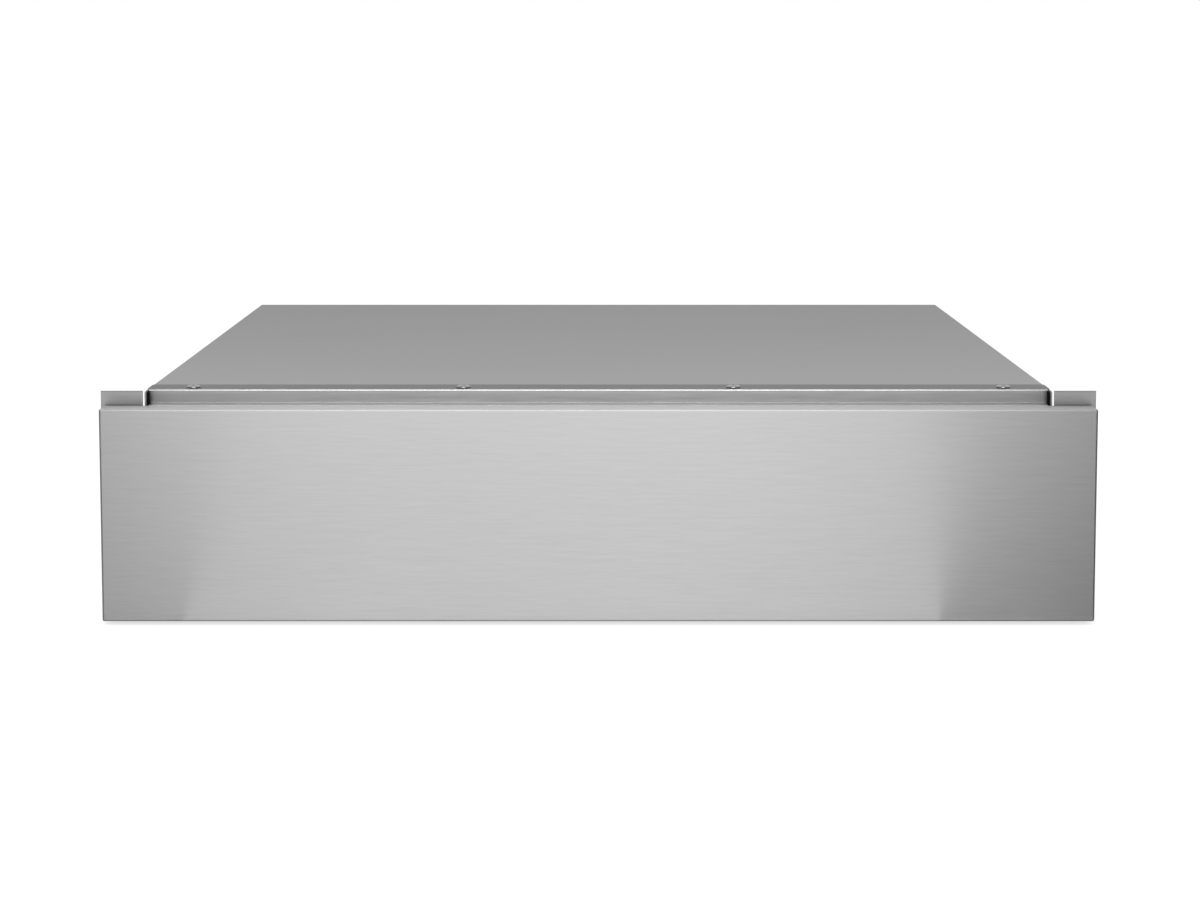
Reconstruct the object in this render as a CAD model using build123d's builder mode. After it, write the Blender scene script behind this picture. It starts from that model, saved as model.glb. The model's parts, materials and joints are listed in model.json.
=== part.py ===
"""Built-in storage drawer: folded steel case, brushed steel front, full-extension ball-bearing slides."""

import os
from build123d import *

os.makedirs("parts", exist_ok=True)

# Outside sizes, in millimetres. The front looks along -Y and the origin is at the middle of the base.
total_width = 600.0  # across the two mounting flanges
total_depth = 550.0  # from the panel's face to the rear screw heads
case_height = 140.0  # pads to the top cover
flange_stand = 26.4  # the mounting flanges stand out this far beyond the cover
case_width = total_width - 2 * flange_stand  # across the top cover's side lips

# Sheet metal
sheet = 1.0
bend_inside = 0.2  # inside radius of every fold
fold = bend_inside + sheet  # outside radius of a fold
hole_play = 0.1  # radial play of a shank in its hole
edge_play = 0.3  # clearance beside a folded edge
beyond = 1.0  # how far a cutting block runs past the faces it cuts

# Front panel
panel_side_gap = 2.0  # the panel's ends lie this far inside the flanges' outer edges
panel_width = total_width - 2 * panel_side_gap
panel_drop = 8.7  # the panel's top edge lies this far under the case's top
panel_foot = 2.7  # and its lower edge this far above the base
panel_return = 15.8  # depth of the folded returns
corner_relief = 1.3  # notch in the top corners of the returns
relief_depth = 3.6
push_gap = 2.2  # from the panel's back to the mounting flanges
push_travel = 2.0  # inward travel that frees the latch

# Front rail
rail_setback = 9.6  # rail web behind the flange plane
rail_flange = 20.0  # depth of the top flange
rail_web = 8.6  # visible height of the web
rail_apron = 13.0  # height of the edge turned down behind the panel
rail_end_gap = 2.4  # lip end to the lip of the top cover
rail_tab = 14.0
rail_screw_count = 4
rail_screw_pitch = case_width * 0.3
rail_screw_back = 5.2  # screw line behind the web

# Case
cover_lip = 16.0  # height of the top cover's side lips
rear_lip = 12.0
pad_height = 2.0
pad_radius = 9.0
pad_inset = 40.0
side_flange = 18.0  # in-turned flanges of the side panels
rear_flange = 14.0
seal_thickness = 0.5
bead_width = 24.0
bead_height = 1.8
base_bead_count = 3

# Mounting flanges
flange_leg = 40.0
flange_foot = 4.0  # lower end above the base
flange_slit = 1.1  # gap between the lug and the top cover's lip
flange_hole_radius = 2.25
flange_hole_inset = 12.5  # hole line to the outer edge
flange_hole_low = 35.0
flange_hole_high = 105.0

# Drawer box
tray_floor_height = 10.0  # underside of the box above the base
tray_rim_drop = 32.0  # rim of the box under the case's top
tray_height = case_height - tray_rim_drop - tray_floor_height
tray_hem = 8.0
tray_flange = 12.0
tray_bead_count = 4
tray_bead_length = total_depth * 0.7
mat_thickness = 1.5
mat_margin = 6.0

# Slides: u runs from the side panel towards the drawer, v up from the slide's centre line
slide_thickness = 12.7
slide_length = 450.0
slide_travel = 440.0
slide_start = 6.0  # front end behind the flange plane
slide_centre = 58.0
slide_height = 45.0
member_sheet = 1.2
ball_radius = 1.985
race_play = 0.1
race_depth = 0.4
cage_sheet = 0.4
cage_play = 0.3
pocket_play = 0.15
outer_reach = 9.5  # flange reach of the outer member
middle_reach = 11.2
inner_reach = 7.1
outer_ball_u = 5.2
inner_ball_u = 7.7
race_lip = 2.5
cage_length = 196.0
balls_per_row = 4
stop_play = 0.3
buffer_length = 6.0
access_width = 9.0  # slots in the middle member, to reach the rivets behind it
access_pitch = slide_length * 0.81
lever_length = 62.0
lever_thickness = 4.0
lever_pivot_back = slide_length * 4 / 9  # pivot behind the slide's front end
pivot_radius = 2.0
pin_head = 0.8
catch_setback = 2.0  # catch tab behind the middle member's front end
catch_low = 7.4  # lower edge of the catch tab above the slide's centre line
catch_width = 4.2
catch_reach = 9.5  # how far the catch tab stands from the side panel
catch_bite = 1.8  # overlap of the lever's hook and the catch tab
hook_play = 1.2  # hook behind the tab at full extension, so that the lever can also swing up
hook_tip = 1.2  # flat top of the hook, before its ramp
hook_length = 7.0

# Touch latch
latch_gap = 2.6  # plunger tip to striker at rest
latch_housing = (24.0, 50.0, 22.0)
plunger_radius = 4.0
plunger_reach = 13.0  # tip in front of the housing at rest
latch_stroke = 13.2
collar_radius = 6.2
collar_length = 3.0
latch_bore = 6.6
latch_cap = 3.0
spring_wire = 0.45
spring_radius = 5.0
spring_turns = 5
latch_arm = 1.5  # sheet of the bracket
latch_ear = 10.0  # width of the bracket beside the housing
tip_length = 4.0
tip_radius = 5.5
stem_radius = 3.0
stem_length = 12.0
striker = (34.0, 1.5, 40.0)

# Fasteners
screw_head_radius = 4.2
screw_head_height = 1.8
screw_shank_radius = 1.9
screw_length = 6.0
recess_width = 0.9
recess_depth = 1.0
rivet_head_radius = 3.0
rivet_head_height = 1.0
rivet_shank_radius = 1.6
cover_screw_pitch = total_depth * 0.34
rear_screw_pitch = case_width * 0.36
rear_rivet_pitch = case_width * 0.3
base_rivet_pitch = total_depth * 0.27
tray_rivet_pitch = total_depth * 0.236
panel_screw_pitch = panel_width * 0.33

# Planes and faces that several pieces share
y_front = -total_depth / 2
y_panel_back = y_front + panel_return
y_case = y_panel_back + push_gap
y_web = y_case + rail_setback
y_rear = total_depth / 2 - screw_head_height
x_lip = case_width / 2
x_side = x_lip - sheet  # outer face of the side panels
x_inner = x_side - sheet  # inner face of the side panels
x_base = x_inner - bend_inside  # the base plate clears the folds beside it
x_tray = x_inner - slide_thickness  # outer face of the drawer box
z_panel_top = case_height - panel_drop
z_panel_bottom = panel_foot
z_rail_lip = case_height - rail_web
z_apron = z_rail_lip - rail_apron
z_cover_under = case_height - sheet
z_side_top = case_height - 2 * sheet
z_floor = pad_height + 2 * sheet  # upper face of the base plate
y_joggle = y_web + rail_flange + edge_play
y_strip = y_web + sheet + bend_inside  # front edge of the cover under the rail's flange
y_rear_panel = y_rear - sheet  # outer face of the rear panel
y_rear_inner = y_rear_panel - sheet
z_latch = (z_floor + z_cover_under) / 2
y_housing_back = y_rear_inner - latch_arm
y_housing = y_housing_back - latch_housing[1]
y_tip = y_housing - plunger_reach
y_striker = y_tip - latch_gap
y_tray_back = y_striker - striker[1]
z_tray_top = tray_floor_height + tray_height
y_slide = y_case + slide_start
left, right = -1, 1


def facing(direction, spots):
    """Locations at the spots whose local Z axis points in the given direction."""
    return [Plane(origin=spot, z_dir=direction).location for spot in spots]


def export(part, name):
    """Label one finished piece and write it."""
    part.label = name
    export_step(part, f"parts/{name}.step")


def mirrored(piece):
    """The same piece for the other side."""
    with BuildPart() as other:
        mirror(piece, about=Plane.YZ)
    return other.part


def export_pair(piece, name):
    """Write a left piece and its mirror image."""
    export(piece, f"{name}_left")
    export(mirrored(piece), f"{name}_right")


def fold_radii(points, thickness):
    """Radius of the line at each fold: the outside one where it turns left, towards the sheet."""
    radii = []
    for before, corner, after in zip(points, points[1:], points[2:]):
        turn = ((corner[0] - before[0]) * (after[1] - corner[1])
                - (corner[1] - before[1]) * (after[0] - corner[0]))
        radii.append(bend_inside + thickness if turn > 0 else bend_inside)
    return radii


def folded(points, thickness=sheet):
    """Section of a sheet folded along a line of points, with its thickness on the left of the line."""
    with BuildSketch() as section:
        with BuildLine() as line:
            path = FilletPolyline(*points, radius=fold_radii(points, thickness))
            offset(path, amount=thickness, side=Side.LEFT)
        make_face()
    return section.sketch


def block(low, high):
    """A box between two corners, for cuts and plain plates."""
    size = [b - a for a, b in zip(low, high)]
    middle = [(a + b) / 2 for a, b in zip(low, high)]
    return Pos(*middle) * Box(*size, mode=Mode.PRIVATE)


def pressed_bead(length, width, height):
    """A raised bead in a sheet: the bump stands on the local XY plane, its hollow opens below."""
    with BuildPart() as bead:
        with BuildSketch():
            SlotOverall(length, width)
        extrude(amount=height, taper=30)
    return bead.part


def spaced(count, pitch):
    """Positions of a centred row."""
    return [(i - (count - 1) / 2) * pitch for i in range(count)]


# Fasteners: head above the local XY plane, shank below it
with BuildPart() as pan_screw:
    with BuildSketch():
        Circle(screw_head_radius)
    extrude(amount=screw_head_height)
    chamfer(pan_screw.edges().group_by(Axis.Z)[-1], length=screw_head_height * 0.5)
    with BuildSketch():
        Circle(screw_shank_radius)
    extrude(amount=-screw_length)
    with BuildSketch(Plane.XY.offset(screw_head_height)):
        Rectangle(screw_head_radius, recess_width)
        Rectangle(recess_width, screw_head_radius)
    extrude(amount=-recess_depth, mode=Mode.SUBTRACT)


def rivet(grip):
    """Round-head rivet through a stack of the given thickness."""
    with BuildPart() as body:
        with BuildSketch():
            Circle(rivet_head_radius)
        extrude(amount=rivet_head_height)
        chamfer(body.edges().group_by(Axis.Z)[-1], length=rivet_head_height * 0.7)
        with BuildSketch():
            Circle(rivet_shank_radius)
        extrude(amount=-grip)
    return body.part


screw_hole = screw_shank_radius + hole_play
rivet_hole = rivet_shank_radius + hole_play
through = 4 * sheet

# Where the fasteners of the case go
rail_screw_xs = spaced(rail_screw_count, rail_screw_pitch)
rail_spots = [(x, y_web + rail_screw_back, case_height) for x in rail_screw_xs]
rail_rivet_spot = (y_web + sheet + rail_tab * 0.6, z_rail_lip - sheet)
cover_side_ys = spaced(3, cover_screw_pitch)
cover_side_z = case_height - cover_lip / 2
rear_top_spots = [(x, y_rear, case_height - rear_lip / 2) for x in spaced(3, rear_screw_pitch)]
y_base_rivet = y_rear_inner - rear_flange / 2
rear_base_spots = [(x, y_base_rivet, z_floor + sheet) for x in spaced(3, rear_rivet_pitch)]
latch_plate_spots = [(x, y_rear_panel, z_latch) for x in spaced(2, latch_housing[0] + latch_ear)]
base_rivet_ys = spaced(4, base_rivet_pitch)
x_base_rivet = x_side - side_flange * 0.6
flange_rivet_y = y_case + flange_leg * 0.62
flange_rivet_zs = [flange_hole_low * 0.7, (flange_hole_low + flange_hole_high) / 2, flange_hole_high]

# Top cover: flat top, side lips that run forward beside the rail, rear lip, and a front edge set down one
# sheet so that the rail's flange lies flush on it
with BuildPart() as top_cover:
    with BuildSketch(Plane.XZ.offset(-y_rear)):
        add(folded([(x_lip, case_height - cover_lip), (x_lip, case_height),
                    (-x_lip, case_height), (-x_lip, case_height - cover_lip)]))
    extrude(amount=y_rear - y_case)
    add(block((-x_side, y_case - beyond, z_side_top - beyond), (x_side, y_strip, case_height + beyond)),
        mode=Mode.SUBTRACT)
    add(block((-x_lip - beyond, y_web - edge_play, z_cover_under),
              (x_lip + beyond, y_joggle, case_height + beyond)), mode=Mode.SUBTRACT)
    add(block((-x_side, y_strip, z_side_top), (x_side, y_joggle + sheet, z_cover_under)))
    add(block((-x_base, y_rear_panel, case_height - rear_lip), (x_base, y_rear, z_cover_under)))
    fillet(top_cover.edges().filter_by(Axis.X).group_by(Axis.Z)[-1].sort_by(Axis.Y)[-1], radius=fold * 0.6)
    with Locations(*facing((0, 0, 1), rail_spots)):
        Hole(screw_hole, depth=through)
    with Locations(*facing((1, 0, 0), [(x_lip, y, cover_side_z) for y in cover_side_ys])):
        Hole(screw_hole, depth=through)
    with Locations(*facing((-1, 0, 0), [(-x_lip, y, cover_side_z) for y in cover_side_ys])):
        Hole(screw_hole, depth=through)
    with Locations(*facing((0, 1, 0), rear_top_spots)):
        Hole(screw_hole, depth=through)
top_cover.part.label = "top_cover"
export_step(top_cover.part, "parts/top_cover.step")

# Side panel: C section with in-turned flanges, cut back at the top front for the rail
slide_rivet_ys = [y_slide + slide_length * f for f in (0.2, 0.5, 0.86)]
with BuildPart() as side_panel:
    with BuildSketch(Plane.XZ.offset(-y_rear)):
        add(folded([(-x_side + side_flange, z_side_top), (-x_side, z_side_top),
                    (-x_side, pad_height), (-x_side + side_flange, pad_height)]))
    extrude(amount=y_rear - y_case)
    add(block((-x_side - beyond, y_case - beyond, z_apron - edge_play),
              (-x_inner + side_flange, y_web + sheet + edge_play, z_side_top + beyond)), mode=Mode.SUBTRACT)
    for y_from, y_to in ((y_case - beyond, y_joggle + fold), (y_rear_inner - rear_flange, y_rear + beyond)):
        add(block((-x_inner, y_from, z_side_top - fold - beyond),
                  (-x_inner + side_flange, y_to, z_side_top + beyond)), mode=Mode.SUBTRACT)
    with Locations(*facing((-1, 0, 0), [(-x_side, y, cover_side_z) for y in cover_side_ys])):
        Hole(screw_hole, depth=through)
    with Locations(*facing((-1, 0, 0), [(-x_side, y, slide_centre) for y in slide_rivet_ys])):
        Hole(screw_hole, depth=through)
    with Locations(*facing((-1, 0, 0), [(-x_side, flange_rivet_y, z) for z in flange_rivet_zs])):
        Hole(rivet_hole, depth=through)
    with Locations(*facing((-1, 0, 0), [(-x_side, *rail_rivet_spot)])):
        Hole(rivet_hole, depth=through)
    with Locations(*facing((0, 0, -1), [(-x_base_rivet, y, pad_height) for y in base_rivet_ys])):
        Hole(rivet_hole, depth=through)
export_pair(side_panel.part, "side_panel")

# Base plate: lies on the side panels' lower flanges, front edge turned down, pressed beads along it
pad_spots = [(sx * (x_side - pad_inset), sy * (y_rear - pad_inset)) for sx in (-1, 1) for sy in (-1, 1)]
bead_length = (y_rear - y_case) * 0.62
bead_xs = spaced(base_bead_count, case_width * 0.26)
with BuildPart() as base_plate:
    with BuildSketch(Plane.YZ.offset(-x_base)):
        add(folded([(y_rear_panel, z_floor), (y_case, z_floor), (y_case, pad_height)]))
    extrude(amount=2 * x_base)
    for x in bead_xs:
        with Locations((x, 0, z_floor)):
            add(Rot(0, 0, 90) * pressed_bead(bead_length, bead_width, bead_height))
        with Locations((x, 0, z_floor - sheet)):
            add(Rot(0, 0, 90) * pressed_bead(bead_length - 2 * sheet, bead_width - 2 * sheet, bead_height),
                mode=Mode.SUBTRACT)
    with Locations(*facing((0, 0, 1), rear_base_spots)):
        Hole(rivet_hole, depth=through)
    for side in (left, right):
        base_spots = [(side * x_base_rivet, y, z_floor) for y in base_rivet_ys]
        with Locations(*facing((0, 0, 1), base_spots)):
            Hole(rivet_hole, depth=through)
        add(block((side * x_inner - side_flange, y_case - beyond, pad_height - beyond),
                  (side * x_inner + side_flange, y_case + fold + sheet, z_floor - sheet)),
            mode=Mode.SUBTRACT)
base_plate.part.label = "base_plate"
export_step(base_plate.part, "parts/base_plate.step")

# Pads: low pucks pressed on to the base, under the corners
with BuildPart() as base_pads:
    for x, y in pad_spots:
        with BuildSketch(Plane.XY):
            with Locations((x, y)):
                Circle(pad_radius)
        extrude(amount=pad_height + sheet, taper=4)
base_pads.part.label = "base_pads"
export_step(base_pads.part, "parts/base_pads.step")

# Rear panel: a pan with its flanges turned forward, two beads pressed inwards
y_rear_flange = y_rear_inner - rear_flange
rear_bead = case_width * 0.7
with BuildPart() as rear_panel:
    with BuildSketch(Plane.XY.offset(z_floor)):
        add(folded([(x_inner, y_rear_flange), (x_inner, y_rear_panel),
                    (-x_inner, y_rear_panel), (-x_inner, y_rear_flange)]))
    extrude(amount=z_cover_under - edge_play - z_floor)
    add(block((-x_inner + sheet + fold, y_rear_flange, z_floor),
              (x_inner - sheet - fold, y_rear_panel - sheet / 2, z_floor + sheet)))
    for z in (z_latch - bead_width * 1.2, z_latch + bead_width * 1.2):
        bead_plane = Plane(origin=(0, y_rear_inner, z), x_dir=(1, 0, 0), z_dir=(0, -1, 0))
        hollow_plane = Plane(origin=(0, y_rear_panel, z), x_dir=(1, 0, 0), z_dir=(0, -1, 0))
        add(bead_plane * pressed_bead(rear_bead, bead_width, bead_height))
        add(hollow_plane * pressed_bead(rear_bead - 2 * sheet, bead_width - 2 * sheet, bead_height),
            mode=Mode.SUBTRACT)
    with Locations(*facing((0, 1, 0), rear_top_spots)):
        Hole(screw_hole, depth=through)
    with Locations(*facing((0, 1, 0), latch_plate_spots)):
        Hole(rivet_hole, depth=through)
    with Locations(*facing((0, 0, 1), rear_base_spots)):
        Hole(rivet_hole, depth=through)
rear_panel.part.label = "rear_panel"
export_step(rear_panel.part, "parts/rear_panel.step")

# Front rail: top flange, web, forward lip and an apron turned down behind the front panel
z_tab_top = z_side_top - sheet - edge_play
x_web_end = x_side - edge_play / 2
x_rail_lip = x_lip - rail_end_gap
with BuildPart() as front_rail:
    with BuildSketch(Plane.YZ.offset(-x_lip)):
        add(folded([(y_web + rail_flange, case_height), (y_web, case_height), (y_web, z_rail_lip),
                    (y_case, z_rail_lip), (y_case, z_apron)]))
    extrude(amount=2 * x_lip)
    for side in (left, right):
        add(block((side * x_lip - (x_lip - x_web_end), y_case - beyond, z_apron - beyond),
                  (side * x_lip + (x_lip - x_web_end), y_joggle, z_cover_under)), mode=Mode.SUBTRACT)
        add(block((side * x_lip - rail_end_gap, y_case - beyond, z_apron - beyond),
                  (side * x_lip + rail_end_gap, y_web, z_rail_lip + fold)), mode=Mode.SUBTRACT)
        add(block((side * (x_inner - sheet / 2) - sheet / 2, y_web, z_apron),
                  (side * (x_inner - sheet / 2) + sheet / 2, y_web + sheet + rail_tab, z_tab_top)))
        with Locations(*facing((-side, 0, 0), [(side * (x_inner - sheet), *rail_rivet_spot)])):
            Hole(rivet_hole, depth=through)
    add(block((-x_inner - beyond, y_web - beyond, z_apron - beyond),
              (x_inner + beyond, y_web + sheet, z_rail_lip - sheet)), mode=Mode.SUBTRACT)
    with Locations(*facing((0, 0, 1), rail_spots)):
        Hole(screw_hole, depth=through)
front_rail.part.label = "front_rail"
export_step(front_rail.part, "parts/front_rail.step")

# Edge seals: thin black strips on the inner faces of the cover's lip ends
x_seal = x_side - seal_thickness / 2
with BuildPart() as edge_seals:
    for side in (left, right):
        add(block((side * x_seal - seal_thickness / 2, y_case, case_height - cover_lip),
                  (side * x_seal + seal_thickness / 2, y_web - edge_play, case_height - fold)))
edge_seals.part.label = "edge_seals"
export_step(edge_seals.part, "parts/edge_seals.step")

# Mounting flange: an angle riveted to the side panel, its front leg lying on the carcass edge, with a lug
# that stands up beside the cover's lip
z_leg_top = case_height - cover_lip - edge_play
x_hole_line = total_width / 2 - flange_hole_inset
flange_hole_zs = (flange_hole_low, flange_hole_high)
with BuildPart() as mounting_flange:
    with BuildSketch(Plane.XY.offset(flange_foot)):
        add(folded([(-total_width / 2, y_case), (-x_side, y_case), (-x_side, y_case + flange_leg)]))
    extrude(amount=z_leg_top - flange_foot)
    add(block((-total_width / 2, y_case, z_leg_top), (-x_lip - flange_slit, y_case + sheet, case_height)))
    with Locations(*facing((0, -1, 0), [(-x_hole_line, y_case, z) for z in flange_hole_zs])):
        Hole(flange_hole_radius, depth=through)
    with Locations(*facing((-1, 0, 0), [(-x_lip, flange_rivet_y, z) for z in flange_rivet_zs])):
        Hole(rivet_hole, depth=through)
    outer_foot = mounting_flange.edges().filter_by(Axis.Y).group_by(Axis.Z)[0].sort_by(Axis.X)[0]
    chamfer(outer_foot, length=3 * sheet)
export_pair(mounting_flange.part, "mounting_flange")

# Case fasteners
with BuildPart() as rail_screws:
    with Locations(*facing((0, 0, 1), rail_spots)):
        add(pan_screw)
rail_screws.part.label = "rail_screws"
export_step(rail_screws.part, "parts/rail_screws.step")

with BuildPart() as cover_screws:
    with Locations(*facing((-1, 0, 0), [(-x_lip, y, cover_side_z) for y in cover_side_ys]),
                   *facing((1, 0, 0), [(x_lip, y, cover_side_z) for y in cover_side_ys]),
                   *facing((0, 1, 0), rear_top_spots)):
        add(pan_screw)
cover_screws.part.label = "cover_screws"
export_step(cover_screws.part, "parts/cover_screws.step")

two_sheets = rivet(2 * sheet)
with BuildPart() as flange_rivets:
    with Locations(*facing((-1, 0, 0), [(-x_lip, flange_rivet_y, z) for z in flange_rivet_zs]),
                   *facing((1, 0, 0), [(x_lip, flange_rivet_y, z) for z in flange_rivet_zs])):
        add(two_sheets)
flange_rivets.part.label = "flange_rivets"
export_step(flange_rivets.part, "parts/flange_rivets.step")

with BuildPart() as case_rivets:
    with Locations(*facing((0, 0, -1), [(side * x_base_rivet, y, pad_height) for y in base_rivet_ys
                                        for side in (left, right)]),
                   *facing((0, 0, 1), rear_base_spots),
                   *facing((1, 0, 0), [(-x_inner + sheet, *rail_rivet_spot)]),
                   *facing((-1, 0, 0), [(x_inner - sheet, *rail_rivet_spot)])):
        add(two_sheets)
case_rivets.part.label = "case_rivets"
export_step(case_rivets.part, "parts/case_rivets.step")

# Slides. Every member is a roll-formed channel with a race for the balls along each flange
race_radius = ball_radius + race_play
v_outer = slide_height / 2
v_outer_ball = v_outer - member_sheet + race_depth - race_radius
v_middle = v_outer_ball - race_radius + race_depth
v_inner_ball = v_middle - member_sheet + race_depth - race_radius
v_inner = v_inner_ball - race_radius + race_depth
u_outer_cage = member_sheet + cage_play
u_middle = u_outer_cage + cage_sheet + cage_play
u_inner_cage = u_middle + member_sheet + cage_play
u_inner_web = slide_thickness - member_sheet
y_slide_back = y_slide + slide_length
y_slide_mid = y_slide + slide_length / 2
middle_length = slide_length - buffer_length
inner_length = middle_length - push_travel / 2
ball_ys = [y_slide_mid + d for d in spaced(balls_per_row, cage_length / balls_per_row)]


def slide_plane(y_end):
    """Section plane of the left slide: X is u, Y is v, and an extrusion runs forward from y_end."""
    return Plane(origin=(-x_inner, y_end, slide_centre), x_dir=(1, 0, 0), z_dir=(0, -1, 0))


def channel(u_web, u_end, v_face, thickness, lip=0):
    """Outer line of a channel whose flanges run from the web at u_web to u_end, with optional lips."""
    upper = [(u_end, v_face - lip)] if lip else []
    lower = [(u_end, -v_face + lip)] if lip else []
    line = upper + [(u_end, v_face), (u_web, v_face), (u_web, -v_face), (u_end, -v_face)] + lower
    return folded(line if u_end > u_web else line[::-1], thickness)


def races(*rows):
    """Cut the ball races: one circle above and one below the centre line for each row."""
    for u, v in rows:
        with Locations((u, v), (u, -v)):
            Circle(race_radius, mode=Mode.SUBTRACT)


# Outer member: fixed to the side panel
with BuildPart() as slide_outer:
    with BuildSketch(slide_plane(y_slide_back)):
        add(channel(0, outer_reach, v_outer, member_sheet, race_lip))
        races((outer_ball_u, v_outer_ball))
    extrude(amount=slide_length)
    with Locations(*facing((-1, 0, 0), [(-x_inner, y, slide_centre) for y in slide_rivet_ys])):
        Hole(rivet_hole, depth=through)
export_pair(slide_outer.part, "slide_outer")

# Middle member: a tab lanced from its web near the front end catches the release lever
y_catch = y_slide + catch_setback
catch_height = catch_reach - u_middle - member_sheet
z_catch = slide_centre + catch_low + catch_width / 2
with BuildPart() as slide_middle:
    with BuildSketch(slide_plane(y_slide + middle_length)):
        add(channel(u_middle, middle_reach, v_middle, member_sheet, race_lip - race_depth))
        races((outer_ball_u, v_outer_ball), (inner_ball_u, v_inner_ball))
    extrude(amount=middle_length)
    with BuildSketch(Plane.YZ.offset(-x_inner + u_middle)):
        with Locations(*[(y_slide + middle_length / 2 + d, slide_centre) for d in spaced(2, access_pitch)]):
            SlotOverall(2.4 * access_width, access_width)
        with Locations((y_catch + member_sheet + catch_height / 2, z_catch)):
            Rectangle(catch_height, catch_width)
    extrude(amount=member_sheet, mode=Mode.SUBTRACT)
    add(block((-x_inner + u_middle, y_catch, z_catch - catch_width / 2),
              (-x_inner + catch_reach, y_catch + member_sheet, z_catch + catch_width / 2)))
export_pair(slide_middle.part, "slide_middle")

# Inner member: riveted to the drawer box
inner_rivet_ys = [y_slide + inner_length * f for f in (0.08, 0.57, 0.92)]
y_pivot = y_slide + lever_pivot_back
with BuildPart() as slide_inner:
    with BuildSketch(slide_plane(y_slide + inner_length)):
        add(channel(slide_thickness, slide_thickness - inner_reach, v_inner, member_sheet))
        races((inner_ball_u, v_inner_ball))
    extrude(amount=inner_length)
    with Locations(*facing((-1, 0, 0), [(-x_inner + u_inner_web, y, slide_centre) for y in inner_rivet_ys])):
        Hole(rivet_hole, depth=through)
    with Locations(*facing((-1, 0, 0), [(-x_inner + u_inner_web, y_pivot, slide_centre)])):
        Hole(pivot_radius + hole_play, depth=through)
export_pair(slide_inner.part, "slide_inner")


def ball_cage(u_web, u_end, u_ball, v_ball):
    """Thin strip between two members, with a pocket for every ball."""
    with BuildPart() as cage:
        with BuildSketch(slide_plane(y_slide_mid + cage_length / 2)):
            add(channel(u_web, u_end, v_ball + cage_sheet / 2, cage_sheet))
        extrude(amount=cage_length)
        with BuildSketch(Plane.XY.offset(slide_centre - v_outer)):
            with Locations(*[(-x_inner + u_ball, y) for y in ball_ys]):
                Circle(ball_radius + pocket_play)
        extrude(amount=slide_height, mode=Mode.SUBTRACT)
    return cage.part


def ball_rows(u_ball, v_ball):
    """The balls of one cage, above and below the centre line."""
    with BuildPart() as balls:
        for v in (-v_ball, v_ball):
            with Locations(*[(-x_inner + u_ball, y, slide_centre + v) for y in ball_ys]):
                Sphere(ball_radius)
    return balls.part


export_pair(ball_cage(u_outer_cage, outer_ball_u + ball_radius + pocket_play + cage_sheet, outer_ball_u,
                      v_outer_ball), "outer_cage")
export_pair(ball_rows(outer_ball_u, v_outer_ball), "outer_balls")
export_pair(ball_cage(u_inner_cage, middle_reach - member_sheet - cage_play, inner_ball_u, v_inner_ball),
            "inner_cage")
export_pair(ball_rows(inner_ball_u, v_inner_ball), "inner_balls")

# Slide rivets: outer members to the side panels, inner members to the drawer box
with BuildPart() as slide_outer_rivets:
    with Locations(*facing((-1, 0, 0), [(-x_side, y, slide_centre) for y in slide_rivet_ys]),
                   *facing((1, 0, 0), [(x_side, y, slide_centre) for y in slide_rivet_ys])):
        add(rivet(sheet + member_sheet))
slide_outer_rivets.part.label = "slide_outer_rivets"
export_step(slide_outer_rivets.part, "parts/slide_outer_rivets.step")

with BuildPart() as slide_inner_rivets:
    with Locations(*facing((-1, 0, 0), [(-x_inner + u_inner_web, y, slide_centre) for y in inner_rivet_ys]),
                   *facing((1, 0, 0), [(x_inner - u_inner_web, y, slide_centre) for y in inner_rivet_ys])):
        add(rivet(sheet + member_sheet))
slide_inner_rivets.part.label = "slide_inner_rivets"
export_step(slide_inner_rivets.part, "parts/slide_inner_rivets.step")

# Buffers at the back of the outer members: they stop the push
y_buffer = y_slide + middle_length + push_travel / 2 + stop_play
x_buffer = x_inner - member_sheet - outer_reach / 2
with BuildPart() as slide_buffers:
    for side in (left, right):
        add(block((side * x_buffer - outer_reach / 2, y_buffer, slide_centre - v_inner / 2),
                  (side * x_buffer + outer_reach / 2, y_slide_back, slide_centre + v_inner / 2)))
    fillet(slide_buffers.edges().filter_by(Axis.Y), radius=fold)
slide_buffers.part.label = "slide_buffers"
export_step(slide_buffers.part, "parts/slide_buffers.step")

# Release lever: in the inner member's channel, on a pin. At full extension its hook stands behind the catch tab
# and stops the drawer, until a finger tilts the lever
u_lever = u_inner_web - edge_play - lever_thickness
lever_eye = 2.4 * pivot_radius
y_hook = y_catch + slide_travel / 2 + member_sheet + hook_play
y_tail = y_hook + hook_length
z_hook = slide_centre + catch_low + catch_bite
with BuildPart() as release_lever:
    with BuildSketch(Plane.YZ.offset(-x_inner + u_lever)):
        with Locations((y_pivot, slide_centre)):
            Circle(lever_eye)
        with Locations((y_pivot - lever_length / 2, slide_centre)):
            SlotOverall(lever_length, pivot_radius * 2)
        with Locations((y_pivot - lever_length + lever_eye, slide_centre)):
            SlotOverall(3 * lever_eye, 1.6 * lever_eye)
        with BuildLine():
            Polyline((y_pivot, slide_centre - pivot_radius), (y_pivot, slide_centre + pivot_radius),
                     (y_hook, slide_centre + pivot_radius), (y_hook, z_hook), (y_hook + hook_tip, z_hook),
                     (y_tail, slide_centre + pivot_radius), (y_tail, slide_centre - pivot_radius), close=True)
        make_face()
        with Locations((y_pivot, slide_centre)):
            Circle(pivot_radius + hole_play, mode=Mode.SUBTRACT)
    extrude(amount=lever_thickness)
export_pair(release_lever.part, "release_lever")

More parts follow.
